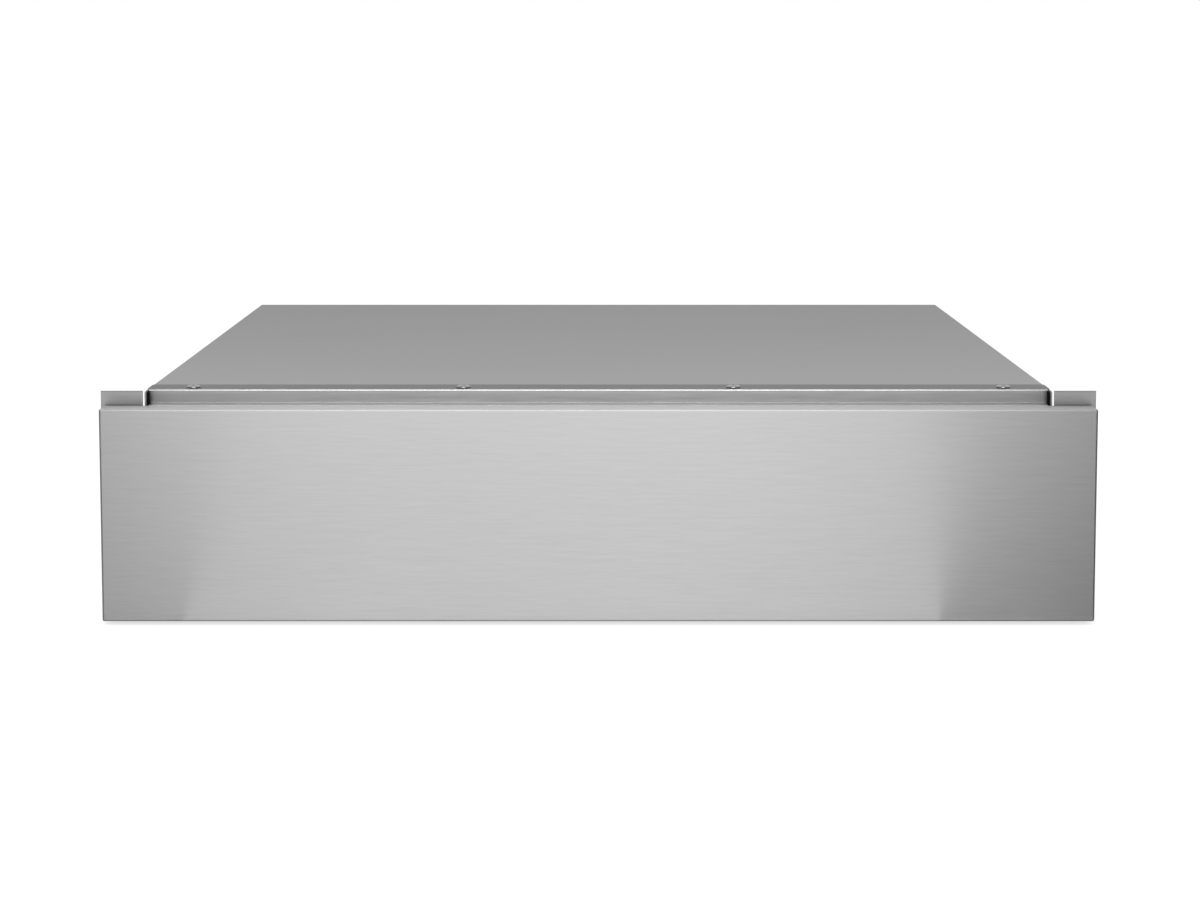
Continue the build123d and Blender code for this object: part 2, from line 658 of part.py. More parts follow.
with BuildPart() as lever_pins:
    for side in (left, right):
        with BuildSketch(Plane.YZ.offset(side * (x_inner - slide_thickness))):
            with Locations((y_pivot, slide_centre)):
                Circle(pivot_radius)
        extrude(amount=side * (slide_thickness - u_lever + edge_play))
        with BuildSketch(Plane.YZ.offset(side * (x_inner - u_lever + edge_play))):
            with Locations((y_pivot, slide_centre)):
                Circle(pivot_radius * 1.6)
        extrude(amount=side * pin_head)
lever_pins.part.label = "lever_pins"
export_step(lever_pins.part, "parts/lever_pins.step")

# Touch latch
z_arm = z_latch - latch_housing[2] / 2 - latch_arm
x_ear = latch_housing[0] / 2 + latch_ear
latch_arm_spots = [(0, y_housing_back - latch_housing[1] * f, z_arm) for f in (0.2, 0.7)]
with BuildPart() as latch_bracket:
    with BuildSketch(Plane.YZ.offset(-x_ear)):
        add(folded([(y_housing + latch_cap, z_arm), (y_rear_inner, z_arm),
                    (y_rear_inner, z_latch + latch_housing[2] / 2)], latch_arm))
    extrude(amount=2 * x_ear)
    for side in (left, right):
        add(block((side * x_ear - latch_ear, y_housing, z_arm - beyond),
                  (side * x_ear + latch_ear, y_housing_back - bend_inside, z_latch)), mode=Mode.SUBTRACT)
    with Locations(*facing((0, 1, 0), latch_plate_spots)):
        Hole(rivet_hole, depth=through)
    with Locations(*facing((0, 0, -1), latch_arm_spots)):
        Hole(rivet_hole, depth=through)
latch_bracket.part.label = "latch_bracket"
export_step(latch_bracket.part, "parts/latch_bracket.step")

housing_plane = Plane(origin=(0, y_housing_back, z_latch), x_dir=(1, 0, 0), z_dir=(0, -1, 0))
bore_back = y_housing_back - latch_cap
with BuildPart() as latch_housing_body:
    with BuildSketch(housing_plane):
        RectangleRounded(latch_housing[0], latch_housing[2], fold)
    extrude(amount=latch_housing[1] - latch_cap)
    with BuildSketch(housing_plane.offset(latch_cap)):
        Circle(latch_bore)
    extrude(amount=latch_housing[1], mode=Mode.SUBTRACT)
    with Locations(*facing((0, 0, -1), [(x, y, z + latch_arm) for x, y, z in latch_arm_spots])):
        Hole(rivet_hole, depth=latch_arm + hole_play)
    chamfer(latch_housing_body.faces().sort_by(Axis.Y)[-1].edges().sort_by(Axis.Z)[0], length=bend_inside)
latch_housing_body.part.label = "latch_housing"
export_step(latch_housing_body.part, "parts/latch_housing.step")

with BuildPart() as latch_front_cap:
    with BuildSketch(housing_plane.offset(latch_housing[1] - latch_cap)):
        RectangleRounded(latch_housing[0], latch_housing[2], fold)
        Circle(plunger_radius + 2 * hole_play, mode=Mode.SUBTRACT)
    extrude(amount=latch_cap)
latch_front_cap.part.label = "latch_front_cap"
export_step(latch_front_cap.part, "parts/latch_front_cap.step")

y_collar = y_housing + latch_cap + latch_stroke + stop_play
tip_plane = Plane(origin=(0, y_tip, z_latch), x_dir=(1, 0, 0), z_dir=(0, 1, 0))
with BuildPart() as latch_plunger:
    with BuildSketch(tip_plane.offset(tip_length)):
        Circle(plunger_radius)
    extrude(amount=y_collar - y_tip - tip_length)
    with BuildSketch(tip_plane.offset(y_collar - y_tip)):
        Circle(collar_radius)
    extrude(amount=collar_length)
    with BuildSketch(tip_plane.offset(y_collar - y_tip + collar_length)):
        Circle(stem_radius)
    extrude(amount=stem_length)
latch_plunger.part.label = "latch_plunger"
export_step(latch_plunger.part, "parts/latch_plunger.step")

with BuildPart() as latch_tip:
    with BuildSketch(tip_plane):
        Circle(tip_radius)
    extrude(amount=tip_length)
    chamfer(latch_tip.edges().filter_by(GeomType.CIRCLE).sort_by(Axis.Y)[0], length=tip_length / 4)
latch_tip.part.label = "latch_tip"
export_step(latch_tip.part, "parts/latch_tip.step")

spring_front = y_collar + collar_length + stop_play + spring_wire
spring_span = bore_back - spring_wire - spring_front
with BuildPart() as latch_spring:
    with BuildLine() as coil:
        Helix(pitch=spring_span / spring_turns, height=spring_span, radius=spring_radius,
              center=(0, spring_front, z_latch), direction=(0, 1, 0))
    with BuildSketch(Plane(origin=coil.line @ 0, z_dir=coil.line % 0)):
        RegularPolygon(spring_wire, 6)
    sweep(is_frenet=True)
latch_spring.part.label = "latch_spring"
export_step(latch_spring.part, "parts/latch_spring.step")

with BuildPart() as latch_rivets:
    with Locations(*facing((0, 1, 0), latch_plate_spots)):
        add(rivet(sheet + latch_arm))
    with Locations(*facing((0, 0, -1), latch_arm_spots)):
        add(rivet(2 * latch_arm))
latch_rivets.part.label = "latch_rivets"
export_step(latch_rivets.part, "parts/latch_rivets.step")

# Drawer box
x_box = x_tray - sheet  # inner face of the side walls
x_floor = x_box - bend_inside  # the floor clears the folds beside it
z_wall = tray_floor_height + 2 * sheet  # the end walls stand on the floor
x_floor_rivet = x_tray - tray_flange * 0.6
tray_mid = (y_tray_back + y_panel_back) / 2
tray_rivet_ys = [tray_mid + d for d in spaced(4, tray_rivet_pitch)]
corner_rivets = [(y, z) for y in (y_panel_back + tray_flange * 0.6, y_tray_back - tray_flange * 0.6)
                 for z in (slide_centre - slide_height * 0.65, slide_centre + slide_height * 0.65)]
panel_spots = [(x, y_panel_back + sheet, z) for x in spaced(3, panel_screw_pitch)
               for z in (slide_centre - slide_height * 0.6, slide_centre + slide_height * 0.6)]
striker_spots = [(0, y_striker, z_latch + d) for d in spaced(2, striker[2] * 0.7)]
with BuildPart() as tray_side:
    with BuildSketch(Plane.XZ.offset(-y_tray_back)):
        add(folded([(-x_tray - tray_hem, z_tray_top - sheet), (-x_tray, z_tray_top - sheet),
                    (-x_tray, tray_floor_height), (-x_tray + tray_flange, tray_floor_height)]))
    extrude(amount=y_tray_back - y_panel_back)
    add(block((-x_tray - tray_hem - beyond, y_panel_back - beyond, z_tray_top - 2 * fold),
              (-x_tray, y_web + rail_flange, z_tray_top + beyond)), mode=Mode.SUBTRACT)
    with Locations(*facing((-1, 0, 0), [(-x_tray, y, z) for y, z in corner_rivets])):
        Hole(rivet_hole, depth=through)
    with Locations(*facing((-1, 0, 0), [(-x_tray, y, slide_centre) for y in inner_rivet_ys])):
        Hole(rivet_hole, depth=through)
    with Locations(*facing((-1, 0, 0), [(-x_tray, y_pivot, slide_centre)])):
        Hole(pivot_radius + hole_play, depth=through)
    with Locations(*facing((0, 0, -1), [(-x_floor_rivet, y, tray_floor_height) for y in tray_rivet_ys])):
        Hole(rivet_hole, depth=through)
export_pair(tray_side.part, "tray_side")

with BuildPart() as tray_floor:
    add(block((-x_floor, y_panel_back, tray_floor_height + sheet), (x_floor, y_tray_back, z_wall)))
    for x in spaced(tray_bead_count, x_box * 0.45):
        with Locations((x, tray_mid, tray_floor_height + sheet)):
            add(Rot(180, 0, 90) * pressed_bead(tray_bead_length, bead_width, bead_height))
        with Locations((x, tray_mid, z_wall)):
            add(Rot(180, 0, 90) * pressed_bead(tray_bead_length - 2 * sheet, bead_width - 2 * sheet,
                                               bead_height), mode=Mode.SUBTRACT)
    with Locations(*facing((0, 0, 1), [(side * x_floor_rivet, y, z_wall) for y in tray_rivet_ys
                                       for side in (left, right)])):
        Hole(rivet_hole, depth=through)
tray_floor.part.label = "tray_floor"
export_step(tray_floor.part, "parts/tray_floor.step")

with BuildPart() as tray_front:
    with BuildSketch(Plane.XY.offset(z_wall)):
        add(folded([(-x_box, y_panel_back + tray_flange), (-x_box, y_panel_back), (x_box, y_panel_back),
                    (x_box, y_panel_back + tray_flange)]))
    extrude(amount=z_tray_top - z_wall)
    add(block((-x_box + 2 * fold, y_panel_back + sheet / 2, z_tray_top - sheet),
              (x_box - 2 * fold, y_panel_back + tray_hem, z_tray_top)))
    with Locations(*facing((0, 1, 0), panel_spots)):
        Hole(screw_hole, depth=2 * sheet)
    for side in (left, right):
        with Locations(*facing((side, 0, 0), [(side * x_box, y, z) for y, z in corner_rivets[:2]])):
            Hole(rivet_hole, depth=2 * sheet)
tray_front.part.label = "tray_front"
export_step(tray_front.part, "parts/tray_front.step")

with BuildPart() as tray_back:
    with BuildSketch(Plane.XY.offset(z_wall)):
        add(folded([(x_box, y_tray_back - tray_flange), (x_box, y_tray_back), (-x_box, y_tray_back),
                    (-x_box, y_tray_back - tray_flange)]))
    extrude(amount=z_tray_top - z_wall)
    add(block((-x_box + 2 * fold, y_tray_back - tray_hem, z_tray_top - sheet),
              (x_box - 2 * fold, y_tray_back - sheet / 2, z_tray_top)))
    with Locations(*facing((0, 1, 0), [(x, y_tray_back, z) for x, y, z in striker_spots])):
        Hole(rivet_hole, depth=2 * sheet)
    for side in (left, right):
        with Locations(*facing((side, 0, 0), [(side * x_box, y, z) for y, z in corner_rivets[2:]])):
            Hole(rivet_hole, depth=2 * sheet)
tray_back.part.label = "tray_back"
export_step(tray_back.part, "parts/tray_back.step")

with BuildPart() as tray_rivets:
    with Locations(*facing((-1, 0, 0), [(-x_tray, y, z) for y, z in corner_rivets]),
                   *facing((1, 0, 0), [(x_tray, y, z) for y, z in corner_rivets]),
                   *facing((0, 0, -1), [(side * x_floor_rivet, y, tray_floor_height)
                                        for y in tray_rivet_ys for side in (left, right)])):
        add(two_sheets)
tray_rivets.part.label = "tray_rivets"
export_step(tray_rivets.part, "parts/tray_rivets.step")

with BuildPart() as striker_plate:
    add(block((-striker[0] / 2, y_tray_back, z_latch - striker[2] / 2),
              (striker[0] / 2, y_striker, z_latch + striker[2] / 2)))
    fillet(striker_plate.edges().filter_by(Axis.Y), radius=2 * fold)
    with Locations(*facing((0, 1, 0), striker_spots)):
        Hole(rivet_hole, depth=striker[1] + hole_play)
striker_plate.part.label = "striker_plate"
export_step(striker_plate.part, "parts/striker_plate.step")

with BuildPart() as striker_rivets:
    with Locations(*facing((0, 1, 0), striker_spots)):
        add(rivet(sheet + striker[1]))
striker_rivets.part.label = "striker_rivets"
export_step(striker_rivets.part, "parts/striker_rivets.step")

# Anti-slip mat, loose on the floor
with BuildPart() as drawer_mat:
    with BuildSketch(Plane.XY.offset(z_wall)):
        with Locations((0, tray_mid)):
            RectangleRounded(2 * (x_box - mat_margin), y_tray_back - y_panel_back - 2 * (sheet + mat_margin),
                             mat_margin)
    extrude(amount=mat_thickness)
drawer_mat.part.label = "drawer_mat"
export_step(drawer_mat.part, "parts/drawer_mat.step")

# Front panel: a folded skin with four returns, relief notches in its top corners
x_panel = panel_width / 2
with BuildPart() as panel_cavity:
    add(block((-x_panel + sheet, y_front + sheet, z_panel_bottom + sheet),
              (x_panel - sheet, y_panel_back + fold, z_panel_top - sheet)))
    cavity_edges = panel_cavity.faces().sort_by(Axis.Y)[0].edges()
    fillet(cavity_edges + panel_cavity.edges().filter_by(Axis.Y), radius=bend_inside)

with BuildPart() as front_panel:
    add(block((-x_panel, y_front, z_panel_bottom), (x_panel, y_panel_back, z_panel_top)))
    face_edges = front_panel.faces().sort_by(Axis.Y)[0].edges()
    fillet(face_edges + front_panel.edges().filter_by(Axis.Y), radius=fold)
    add(panel_cavity, mode=Mode.SUBTRACT)
    for side in (left, right):
        add(block((side * x_panel - corner_relief, y_front + sheet, z_panel_top - corner_relief),
                  (side * x_panel + corner_relief, y_front + sheet + relief_depth, z_panel_top + beyond)),
            mode=Mode.SUBTRACT)
front_panel.part.label = "front_panel"
export_step(front_panel.part, "parts/front_panel.step")

# Backing pan: closes and stiffens the panel, its flanges turned forward inside the returns
x_pan = x_panel - sheet - hole_play
z_pan_low = z_panel_bottom + sheet + hole_play
z_pan_high = z_panel_top - sheet - hole_play
with BuildPart() as front_backing:
    add(block((-x_pan, y_panel_back - tray_hem, z_pan_low), (x_pan, y_panel_back, z_pan_high)))
    fillet(front_backing.edges().filter_by(Axis.Y), radius=bend_inside)
    add(block((-x_pan + sheet, y_panel_back - tray_hem - beyond, z_pan_low + sheet),
              (x_pan - sheet, y_panel_back - sheet, z_pan_high - sheet)), mode=Mode.SUBTRACT)
    with Locations(*facing((0, 1, 0), [(x, y_panel_back, z) for x, y, z in panel_spots])):
        Hole(screw_hole, depth=2 * sheet)
front_backing.part.label = "front_backing"
export_step(front_backing.part, "parts/front_backing.step")

with BuildPart() as panel_screws:
    with Locations(*facing((0, 1, 0), panel_spots)):
        add(pan_screw)
panel_screws.part.label = "panel_screws"
export_step(panel_screws.part, "parts/panel_screws.step")
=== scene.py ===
# %% [markdown]
# # A built-in storage drawer
# The object is a low steel drawer unit that is screwed into a kitchen cabinet: a folded case, two mounting
# flanges and a wide brushed front with no handle.

# %% Load the frame
import json
import math
import bmesh
import bpy
from mathutils import Matrix, Vector

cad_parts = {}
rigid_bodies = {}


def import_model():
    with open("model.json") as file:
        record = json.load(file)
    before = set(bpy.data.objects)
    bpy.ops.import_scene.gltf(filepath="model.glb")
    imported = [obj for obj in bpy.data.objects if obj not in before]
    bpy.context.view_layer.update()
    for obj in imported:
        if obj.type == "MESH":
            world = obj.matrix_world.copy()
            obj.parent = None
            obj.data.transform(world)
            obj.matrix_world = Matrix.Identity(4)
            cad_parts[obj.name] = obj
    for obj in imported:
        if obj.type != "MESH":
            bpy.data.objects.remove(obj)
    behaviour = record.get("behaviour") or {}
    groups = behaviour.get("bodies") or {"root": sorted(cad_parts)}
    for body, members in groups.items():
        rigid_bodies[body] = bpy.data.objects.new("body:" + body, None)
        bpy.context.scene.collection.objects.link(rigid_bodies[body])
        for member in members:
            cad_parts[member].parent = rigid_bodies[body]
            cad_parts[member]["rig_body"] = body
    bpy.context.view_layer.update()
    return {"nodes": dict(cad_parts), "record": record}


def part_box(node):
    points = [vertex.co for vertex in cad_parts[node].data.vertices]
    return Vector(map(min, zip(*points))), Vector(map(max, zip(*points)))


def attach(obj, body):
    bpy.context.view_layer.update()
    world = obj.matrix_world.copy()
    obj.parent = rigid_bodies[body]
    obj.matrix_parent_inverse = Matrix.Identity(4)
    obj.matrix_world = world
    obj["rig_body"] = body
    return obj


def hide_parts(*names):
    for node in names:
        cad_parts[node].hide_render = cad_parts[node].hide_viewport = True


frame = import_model()

# %% [markdown]
# ## The camera
# The photograph looks straight at the front from a little above. Its upright edges stay nearly parallel,
# which a real lens reaches by shifting instead of tilting. A large shift would push the object out of the
# frame in the other views, so a small shift and a small tilt share the work. The distance and the lens come
# from the perspective of the top, whose rear edge looks a quarter shorter than the front one.

# %% Camera
CAMERA_BEFORE_FRONT = 1.4972  # metres from the front panel's face
CAMERA_HEIGHT = 0.3415
CAMERA_TILT = math.radians(5.465)
LENS_MM = 76.05
SHIFT_DOWN = 0.13
SHIFT_RIGHT = 0.0013

front_low, front_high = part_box("front_panel")
lens = bpy.data.cameras.new("studio_camera")
lens.lens = LENS_MM
lens.sensor_width = 36.0
lens.shift_x = SHIFT_RIGHT
lens.shift_y = -SHIFT_DOWN
camera = bpy.data.objects.new("studio_camera", lens)
camera.location = (0.0, front_low[1] - CAMERA_BEFORE_FRONT, CAMERA_HEIGHT)
camera.rotation_euler = (math.pi / 2 - CAMERA_TILT, 0.0, 0.0)
bpy.context.scene.collection.objects.link(camera)
bpy.context.scene.camera = camera
print("camera at", tuple(round(v, 3) for v in camera.location))

# %% [markdown]
# ## Small helpers for shader graphs
# A shader graph in code soon becomes a list of nodes and links. Four helpers keep it readable: one adds a
# node with its settings, one turns a mask into a colour between two others, one turns a mask into a number,
# and one does sums. They only save typing, and every graph below can still be followed node by node.

# %% Graph helpers
def add_node(tree, kind, **settings):
    """A node of this kind with its properties set."""
    node = tree.nodes.new(kind)
    for name, value in settings.items():
        setattr(node, name, value)
    return node


def colour_between(tree, mask, dark, light):
    """Colour that runs from dark to light as the mask runs from 0 to 1."""
    mix = add_node(tree, "ShaderNodeMix", data_type="RGBA")
    mix.inputs[6].default_value = (*dark, 1.0)
    mix.inputs[7].default_value = (*light, 1.0)
    tree.links.new(mask, mix.inputs[0])
    return mix.outputs[2]


def value_between(tree, mask, low, high):
    """Number that runs from low to high as the mask runs from 0 to 1."""
    spread = add_node(tree, "ShaderNodeMapRange")
    spread.inputs["To Min"].default_value = low
    spread.inputs["To Max"].default_value = high
    tree.links.new(mask, spread.inputs["Value"])
    return spread.outputs["Result"]


def maths(tree, operation, first, second):
    """Two numbers or sockets combined."""
    node = add_node(tree, "ShaderNodeMath", operation=operation)
    for socket, value in zip(node.inputs, (first, second)):
        if isinstance(value, (int, float)):
            socket.default_value = value
        else:
            tree.links.new(value, socket)
    return node.outputs[0]


print("graph helpers ready")

# %% [markdown]
# ## Effects that several finishes share
# Grain, clouds and edge wear are needed in many finishes, each time with other values. A node group is the
# shader's own function: its sockets are its arguments. Each group here puts out masks that change over the
# surface, and the materials decide what those masks do.

# %% Group maker
def new_group(name, inputs, outputs):
    """An empty node group with named sockets, and its two end nodes."""
    group = bpy.data.node_groups.new(name, "ShaderNodeTree")
    for label, kind, value in inputs:
        socket = group.interface.new_socket(name=label, in_out="INPUT", socket_type=kind)
        if value is not None:
            socket.default_value = value
    for label in outputs:
        group.interface.new_socket(name=label, in_out="OUTPUT", socket_type="NodeSocketFloat")
    return group, add_node(group, "NodeGroupInput"), add_node(group, "NodeGroupOutput")


def place_group(tree, group, place=None, **values):
    """A group inside a material, fed with object coordinates and with its own values."""
    node = add_node(tree, "ShaderNodeGroup", node_tree=group)
    for label, value in values.items():
        node.inputs[label].default_value = value
    if place is not None:
        tree.links.new(place, node.inputs["Place"])
    return node


FLOAT, VECTOR = "NodeSocketFloat", "NodeSocketVector"
print("group maker ready")

# %% [markdown]
# ### Brushing
# A brushing belt leaves short parallel scratches. Noise that is stretched many times over in one direction
# gives the same lines. Two layers are needed: fine hair-lines, and a few broader ones that catch the eye.

# %% Brushing group
brushing, enter, leave = new_group(
    "brushing", [("Place", VECTOR, None), ("Lines", VECTOR, (60.0, 1500.0, 1500.0)), ("Broad", FLOAT, 0.35)],
    ["Streaks", "Height"])
stretch = add_node(brushing, "ShaderNodeVectorMath", operation="MULTIPLY")
brushing.links.new(enter.outputs["Place"], stretch.inputs[0])
brushing.links.new(enter.outputs["Lines"], stretch.inputs[1])
hair = add_node(brushing, "ShaderNodeTexNoise")
hair.inputs["Scale"].default_value = 1.0
hair.inputs["Detail"].default_value = 2.0
brushing.links.new(stretch.outputs[0], hair.inputs["Vector"])
wide = add_node(brushing, "ShaderNodeTexNoise")
wide.inputs["Scale"].default_value = 0.31
wide.inputs["Detail"].default_value = 1.0
brushing.links.new(stretch.outputs[0], wide.inputs["Vector"])
both = add_node(brushing, "ShaderNodeMix", data_type="FLOAT")
brushing.links.new(enter.outputs["Broad"], both.inputs[0])
brushing.links.new(hair.outputs["Fac"], both.inputs[2])
brushing.links.new(wide.outputs["Fac"], both.inputs[3])
contrast = add_node(brushing, "ShaderNodeMapRange")
contrast.inputs["From Min"].default_value = 0.32
contrast.inputs["From Max"].default_value = 0.68
brushing.links.new(both.outputs[0], contrast.inputs["Value"])
brushing.links.new(contrast.outputs["Result"], leave.inputs["Streaks"])
brushing.links.new(hair.outputs["Fac"], leave.inputs["Height"])
print("group:", brushing.name)

# %% [markdown]
# ### Clouds
# No rolled or coated sheet has quite the same tone from end to end. Low, soft noise gives slow patches that
# nobody notices until they are missing.

# %% Clouds group
clouds, enter, leave = new_group("clouds", [("Place", VECTOR, None), ("Size", FLOAT, 6.0)], ["Tone"])
patches = add_node(clouds, "ShaderNodeTexNoise")
patches.inputs["Detail"].default_value = 3.0
patches.inputs["Roughness"].default_value = 0.45
clouds.links.new(enter.outputs["Place"], patches.inputs["Vector"])
clouds.links.new(enter.outputs["Size"], patches.inputs["Scale"])
soften = add_node(clouds, "ShaderNodeMapRange", interpolation_type="SMOOTHSTEP")
soften.inputs["From Min"].default_value = 0.3
soften.inputs["From Max"].default_value = 0.7
clouds.links.new(patches.outputs["Fac"], soften.inputs["Value"])
clouds.links.new(soften.outputs["Result"], leave.inputs["Tone"])
print("group:", clouds.name)

# %% [markdown]
# ### Worn edges
# Handling polishes the edges of metal and rubs the colour off plastic. The Bevel node rounds the normal near
# an edge, so where it differs from the true normal an edge is near. That works on any mesh, also on flat
# faces with few vertices, where pointiness would smear. Inner corners aren't rubbed: the Ambient Occlusion
# node finds them and takes them out. Noise breaks the line up.

# %% Worn edges group
worn_edges, enter, leave = new_group(
    "worn_edges", [("Place", VECTOR, None), ("Radius", FLOAT, 0.0006), ("Patchiness", FLOAT, 0.5)], ["Wear"])
rounded = add_node(worn_edges, "ShaderNodeBevel", samples=4)
worn_edges.links.new(enter.outputs["Radius"], rounded.inputs["Radius"])
true_face = add_node(worn_edges, "ShaderNodeNewGeometry")
likeness = add_node(worn_edges, "ShaderNodeVectorMath", operation="DOT_PRODUCT")
worn_edges.links.new(rounded.outputs["Normal"], likeness.inputs[0])
worn_edges.links.new(true_face.outputs["Normal"], likeness.inputs[1])
near_edge = add_node(worn_edges, "ShaderNodeMapRange")
near_edge.inputs["From Min"].default_value = 0.995
near_edge.inputs["From Max"].default_value = 0.86
worn_edges.links.new(likeness.outputs["Value"], near_edge.inputs["Value"])
rubbed = add_node(worn_edges, "ShaderNodeTexNoise")
rubbed.inputs["Scale"].default_value = 160.0
worn_edges.links.new(enter.outputs["Place"], rubbed.inputs["Vector"])
gaps = maths(worn_edges, "MULTIPLY", rubbed.outputs["Fac"], enter.outputs["Patchiness"])
kept = maths(worn_edges, "SUBTRACT", 1.0, gaps)
free = add_node(worn_edges, "ShaderNodeAmbientOcclusion", samples=4)
free.inputs["Distance"].default_value = 0.004
outer_only = add_node(worn_edges, "ShaderNodeMapRange")
outer_only.inputs["From Min"].default_value = 0.8
outer_only.inputs["From Max"].default_value = 0.95
worn_edges.links.new(free.outputs["AO"], outer_only.inputs["Value"])
wear = maths(worn_edges, "MULTIPLY", near_edge.outputs["Result"], kept)
worn_edges.links.new(maths(worn_edges, "MULTIPLY", wear, outer_only.outputs["Result"]), leave.inputs["Wear"])
print("group:", worn_edges.name)

# %% [markdown]
# ### Painted corner shade
# Inner corners get painted shade, like the shade of folds. The same occlusion, taken over a longer distance,
# runs from 1 on open faces to 0 deep in a corner. The Depth socket says how dark the painted shade gets.

# %% Painted corner shade group
painted_corner_shade, enter, leave = new_group(
    "painted_corner_shade", [("Reach", FLOAT, 0.012), ("Depth", FLOAT, 0.5)], ["Shade"])
around = add_node(painted_corner_shade, "ShaderNodeAmbientOcclusion", samples=6)
painted_corner_shade.links.new(enter.outputs["Reach"], around.inputs["Distance"])
closed = maths(painted_corner_shade, "SUBTRACT", 1.0, around.outputs["AO"])
darkening = maths(painted_corner_shade, "MULTIPLY", closed, enter.outputs["Depth"])
painted_corner_shade.links.new(maths(painted_corner_shade, "SUBTRACT", 1.0, darkening), leave.inputs["Shade"])
print("group:", painted_corner_shade.name)

# %% [markdown]
# ### Zinc flowers
# Hot-dip galvanising leaves crystals that look like frost, each with its own tone. A Voronoi texture is made
# of such cells. Its colour output is one random value per cell, which is all that a crystal needs.

# %% Zinc flowers group
zinc_flowers, enter, leave = new_group(
    "zinc_flowers", [("Place", VECTOR, None), ("Crystals", FLOAT, 110.0)], ["Flower", "Height"])
ragged = add_node(zinc_flowers, "ShaderNodeTexNoise")
ragged.inputs["Scale"].default_value = 260.0
zinc_flowers.links.new(enter.outputs["Place"], ragged.inputs["Vector"])
push = add_node(zinc_flowers, "ShaderNodeVectorMath", operation="SCALE")
push.inputs["Scale"].default_value = 0.004
zinc_flowers.links.new(ragged.outputs["Color"], push.inputs[0])
shifted = add_node(zinc_flowers, "ShaderNodeVectorMath", operation="ADD")
zinc_flowers.links.new(enter.outputs["Place"], shifted.inputs[0])
zinc_flowers.links.new(push.outputs[0], shifted.inputs[1])
crystals = add_node(zinc_flowers, "ShaderNodeTexVoronoi")
zinc_flowers.links.new(shifted.outputs[0], crystals.inputs["Vector"])
zinc_flowers.links.new(enter.outputs["Crystals"], crystals.inputs["Scale"])
one_tone = add_node(zinc_flowers, "ShaderNodeSeparateColor")
zinc_flowers.links.new(crystals.outputs["Color"], one_tone.inputs[0])
zinc_flowers.links.new(one_tone.outputs[0], leave.inputs["Flower"])
zinc_flowers.links.new(crystals.outputs["Distance"], leave.inputs["Height"])
print("group:", zinc_flowers.name)

# %% [markdown]
# ### Moulded grain
# A moulded part carries the fine spark texture of its steel mould, and a foam strip its open cells. Both are
# small even noise, so one group serves them with another size.

# %% Moulded grain group
moulded_grain, enter, leave = new_group(
    "moulded_grain", [("Place", VECTOR, None), ("Fineness", FLOAT, 1800.0)], ["Grain"])
spark = add_node(moulded_grain, "ShaderNodeTexNoise")
spark.inputs["Detail"].default_value = 4.0
spark.inputs["Roughness"].default_value = 0.6
moulded_grain.links.new(enter.outputs["Place"], spark.inputs["Vector"])
moulded_grain.links.new(enter.outputs["Fineness"], spark.inputs["Scale"])
moulded_grain.links.new(spark.outputs["Fac"], leave.inputs["Grain"])
print("group:", moulded_grain.name)

# %% [markdown]
# ## Finishes
# Every finish starts alike: a Principled shader, object coordinates, and a bump node for the relief. The rest
# of each recipe is its own. Numbers that are the same all over the surface stay on the shader's own sockets.

# %% Finish starter
finishes = {}


def start_finish(name, metallic, relief_mm):
    """A material with its shader, its place on the object and a bump node of the given relief."""
    material = bpy.data.materials.new(name)
    material.use_nodes = True
    tree = material.node_tree
    shader = tree.nodes["Principled BSDF"]
    shader.inputs["Metallic"].default_value = metallic
    place = add_node(tree, "ShaderNodeTexCoord").outputs["Object"]
    bump = add_node(tree, "ShaderNodeBump")
    bump.inputs["Distance"].default_value = relief_mm / 1000.0
    tree.links.new(bump.outputs["Normal"], shader.inputs["Normal"])
    finishes[name] = material
    return tree, shader, place, bump


def grey(tone):
    """A neutral colour."""
    return (tone, tone, tone)


def shaded(tree, colour, shade):
    """A colour multiplied by a shade between 0 and 1."""
    shade_mix = add_node(tree, "ShaderNodeMix", data_type="RGBA", blend_type="MULTIPLY")
    shade_mix.inputs[0].default_value = 1.0
    tree.links.new(colour, shade_mix.inputs[6])
    tree.links.new(shade, shade_mix.inputs[7])
    return shade_mix.outputs[2]


def worn_to(tree, body, wear, bare):
    """A colour that turns to the bare one as the wear mask goes to 1."""
    mix = add_node(tree, "ShaderNodeMix", data_type="RGBA")
    mix.inputs[7].default_value = (*bare, 1.0)
    tree.links.new(wear, mix.inputs[0])
    tree.links.new(body, mix.inputs[6])
    return mix.outputs[2]


def two_masks(tree, first, second, share):
    """Two masks added up, the first with this share and the second with the rest."""
    return maths(tree, "ADD", maths(tree, "MULTIPLY", first, share),
                 maths(tree, "MULTIPLY", second, 1.0 - share))


print("finish starter ready")

# %% [markdown]
# ### Brushed front
# The front is stainless steel brushed from side to side. The lines run along X, so X is stretched and the
# other two directions are packed tight. Anisotropy spreads the highlight upright, across the lines, which is
# why a brushed front is bright in the middle and darker towards its ends.

# %% Brushed front
STREAK_SHARE = 0.75  # of the streaks in the tone, the rest is clouds


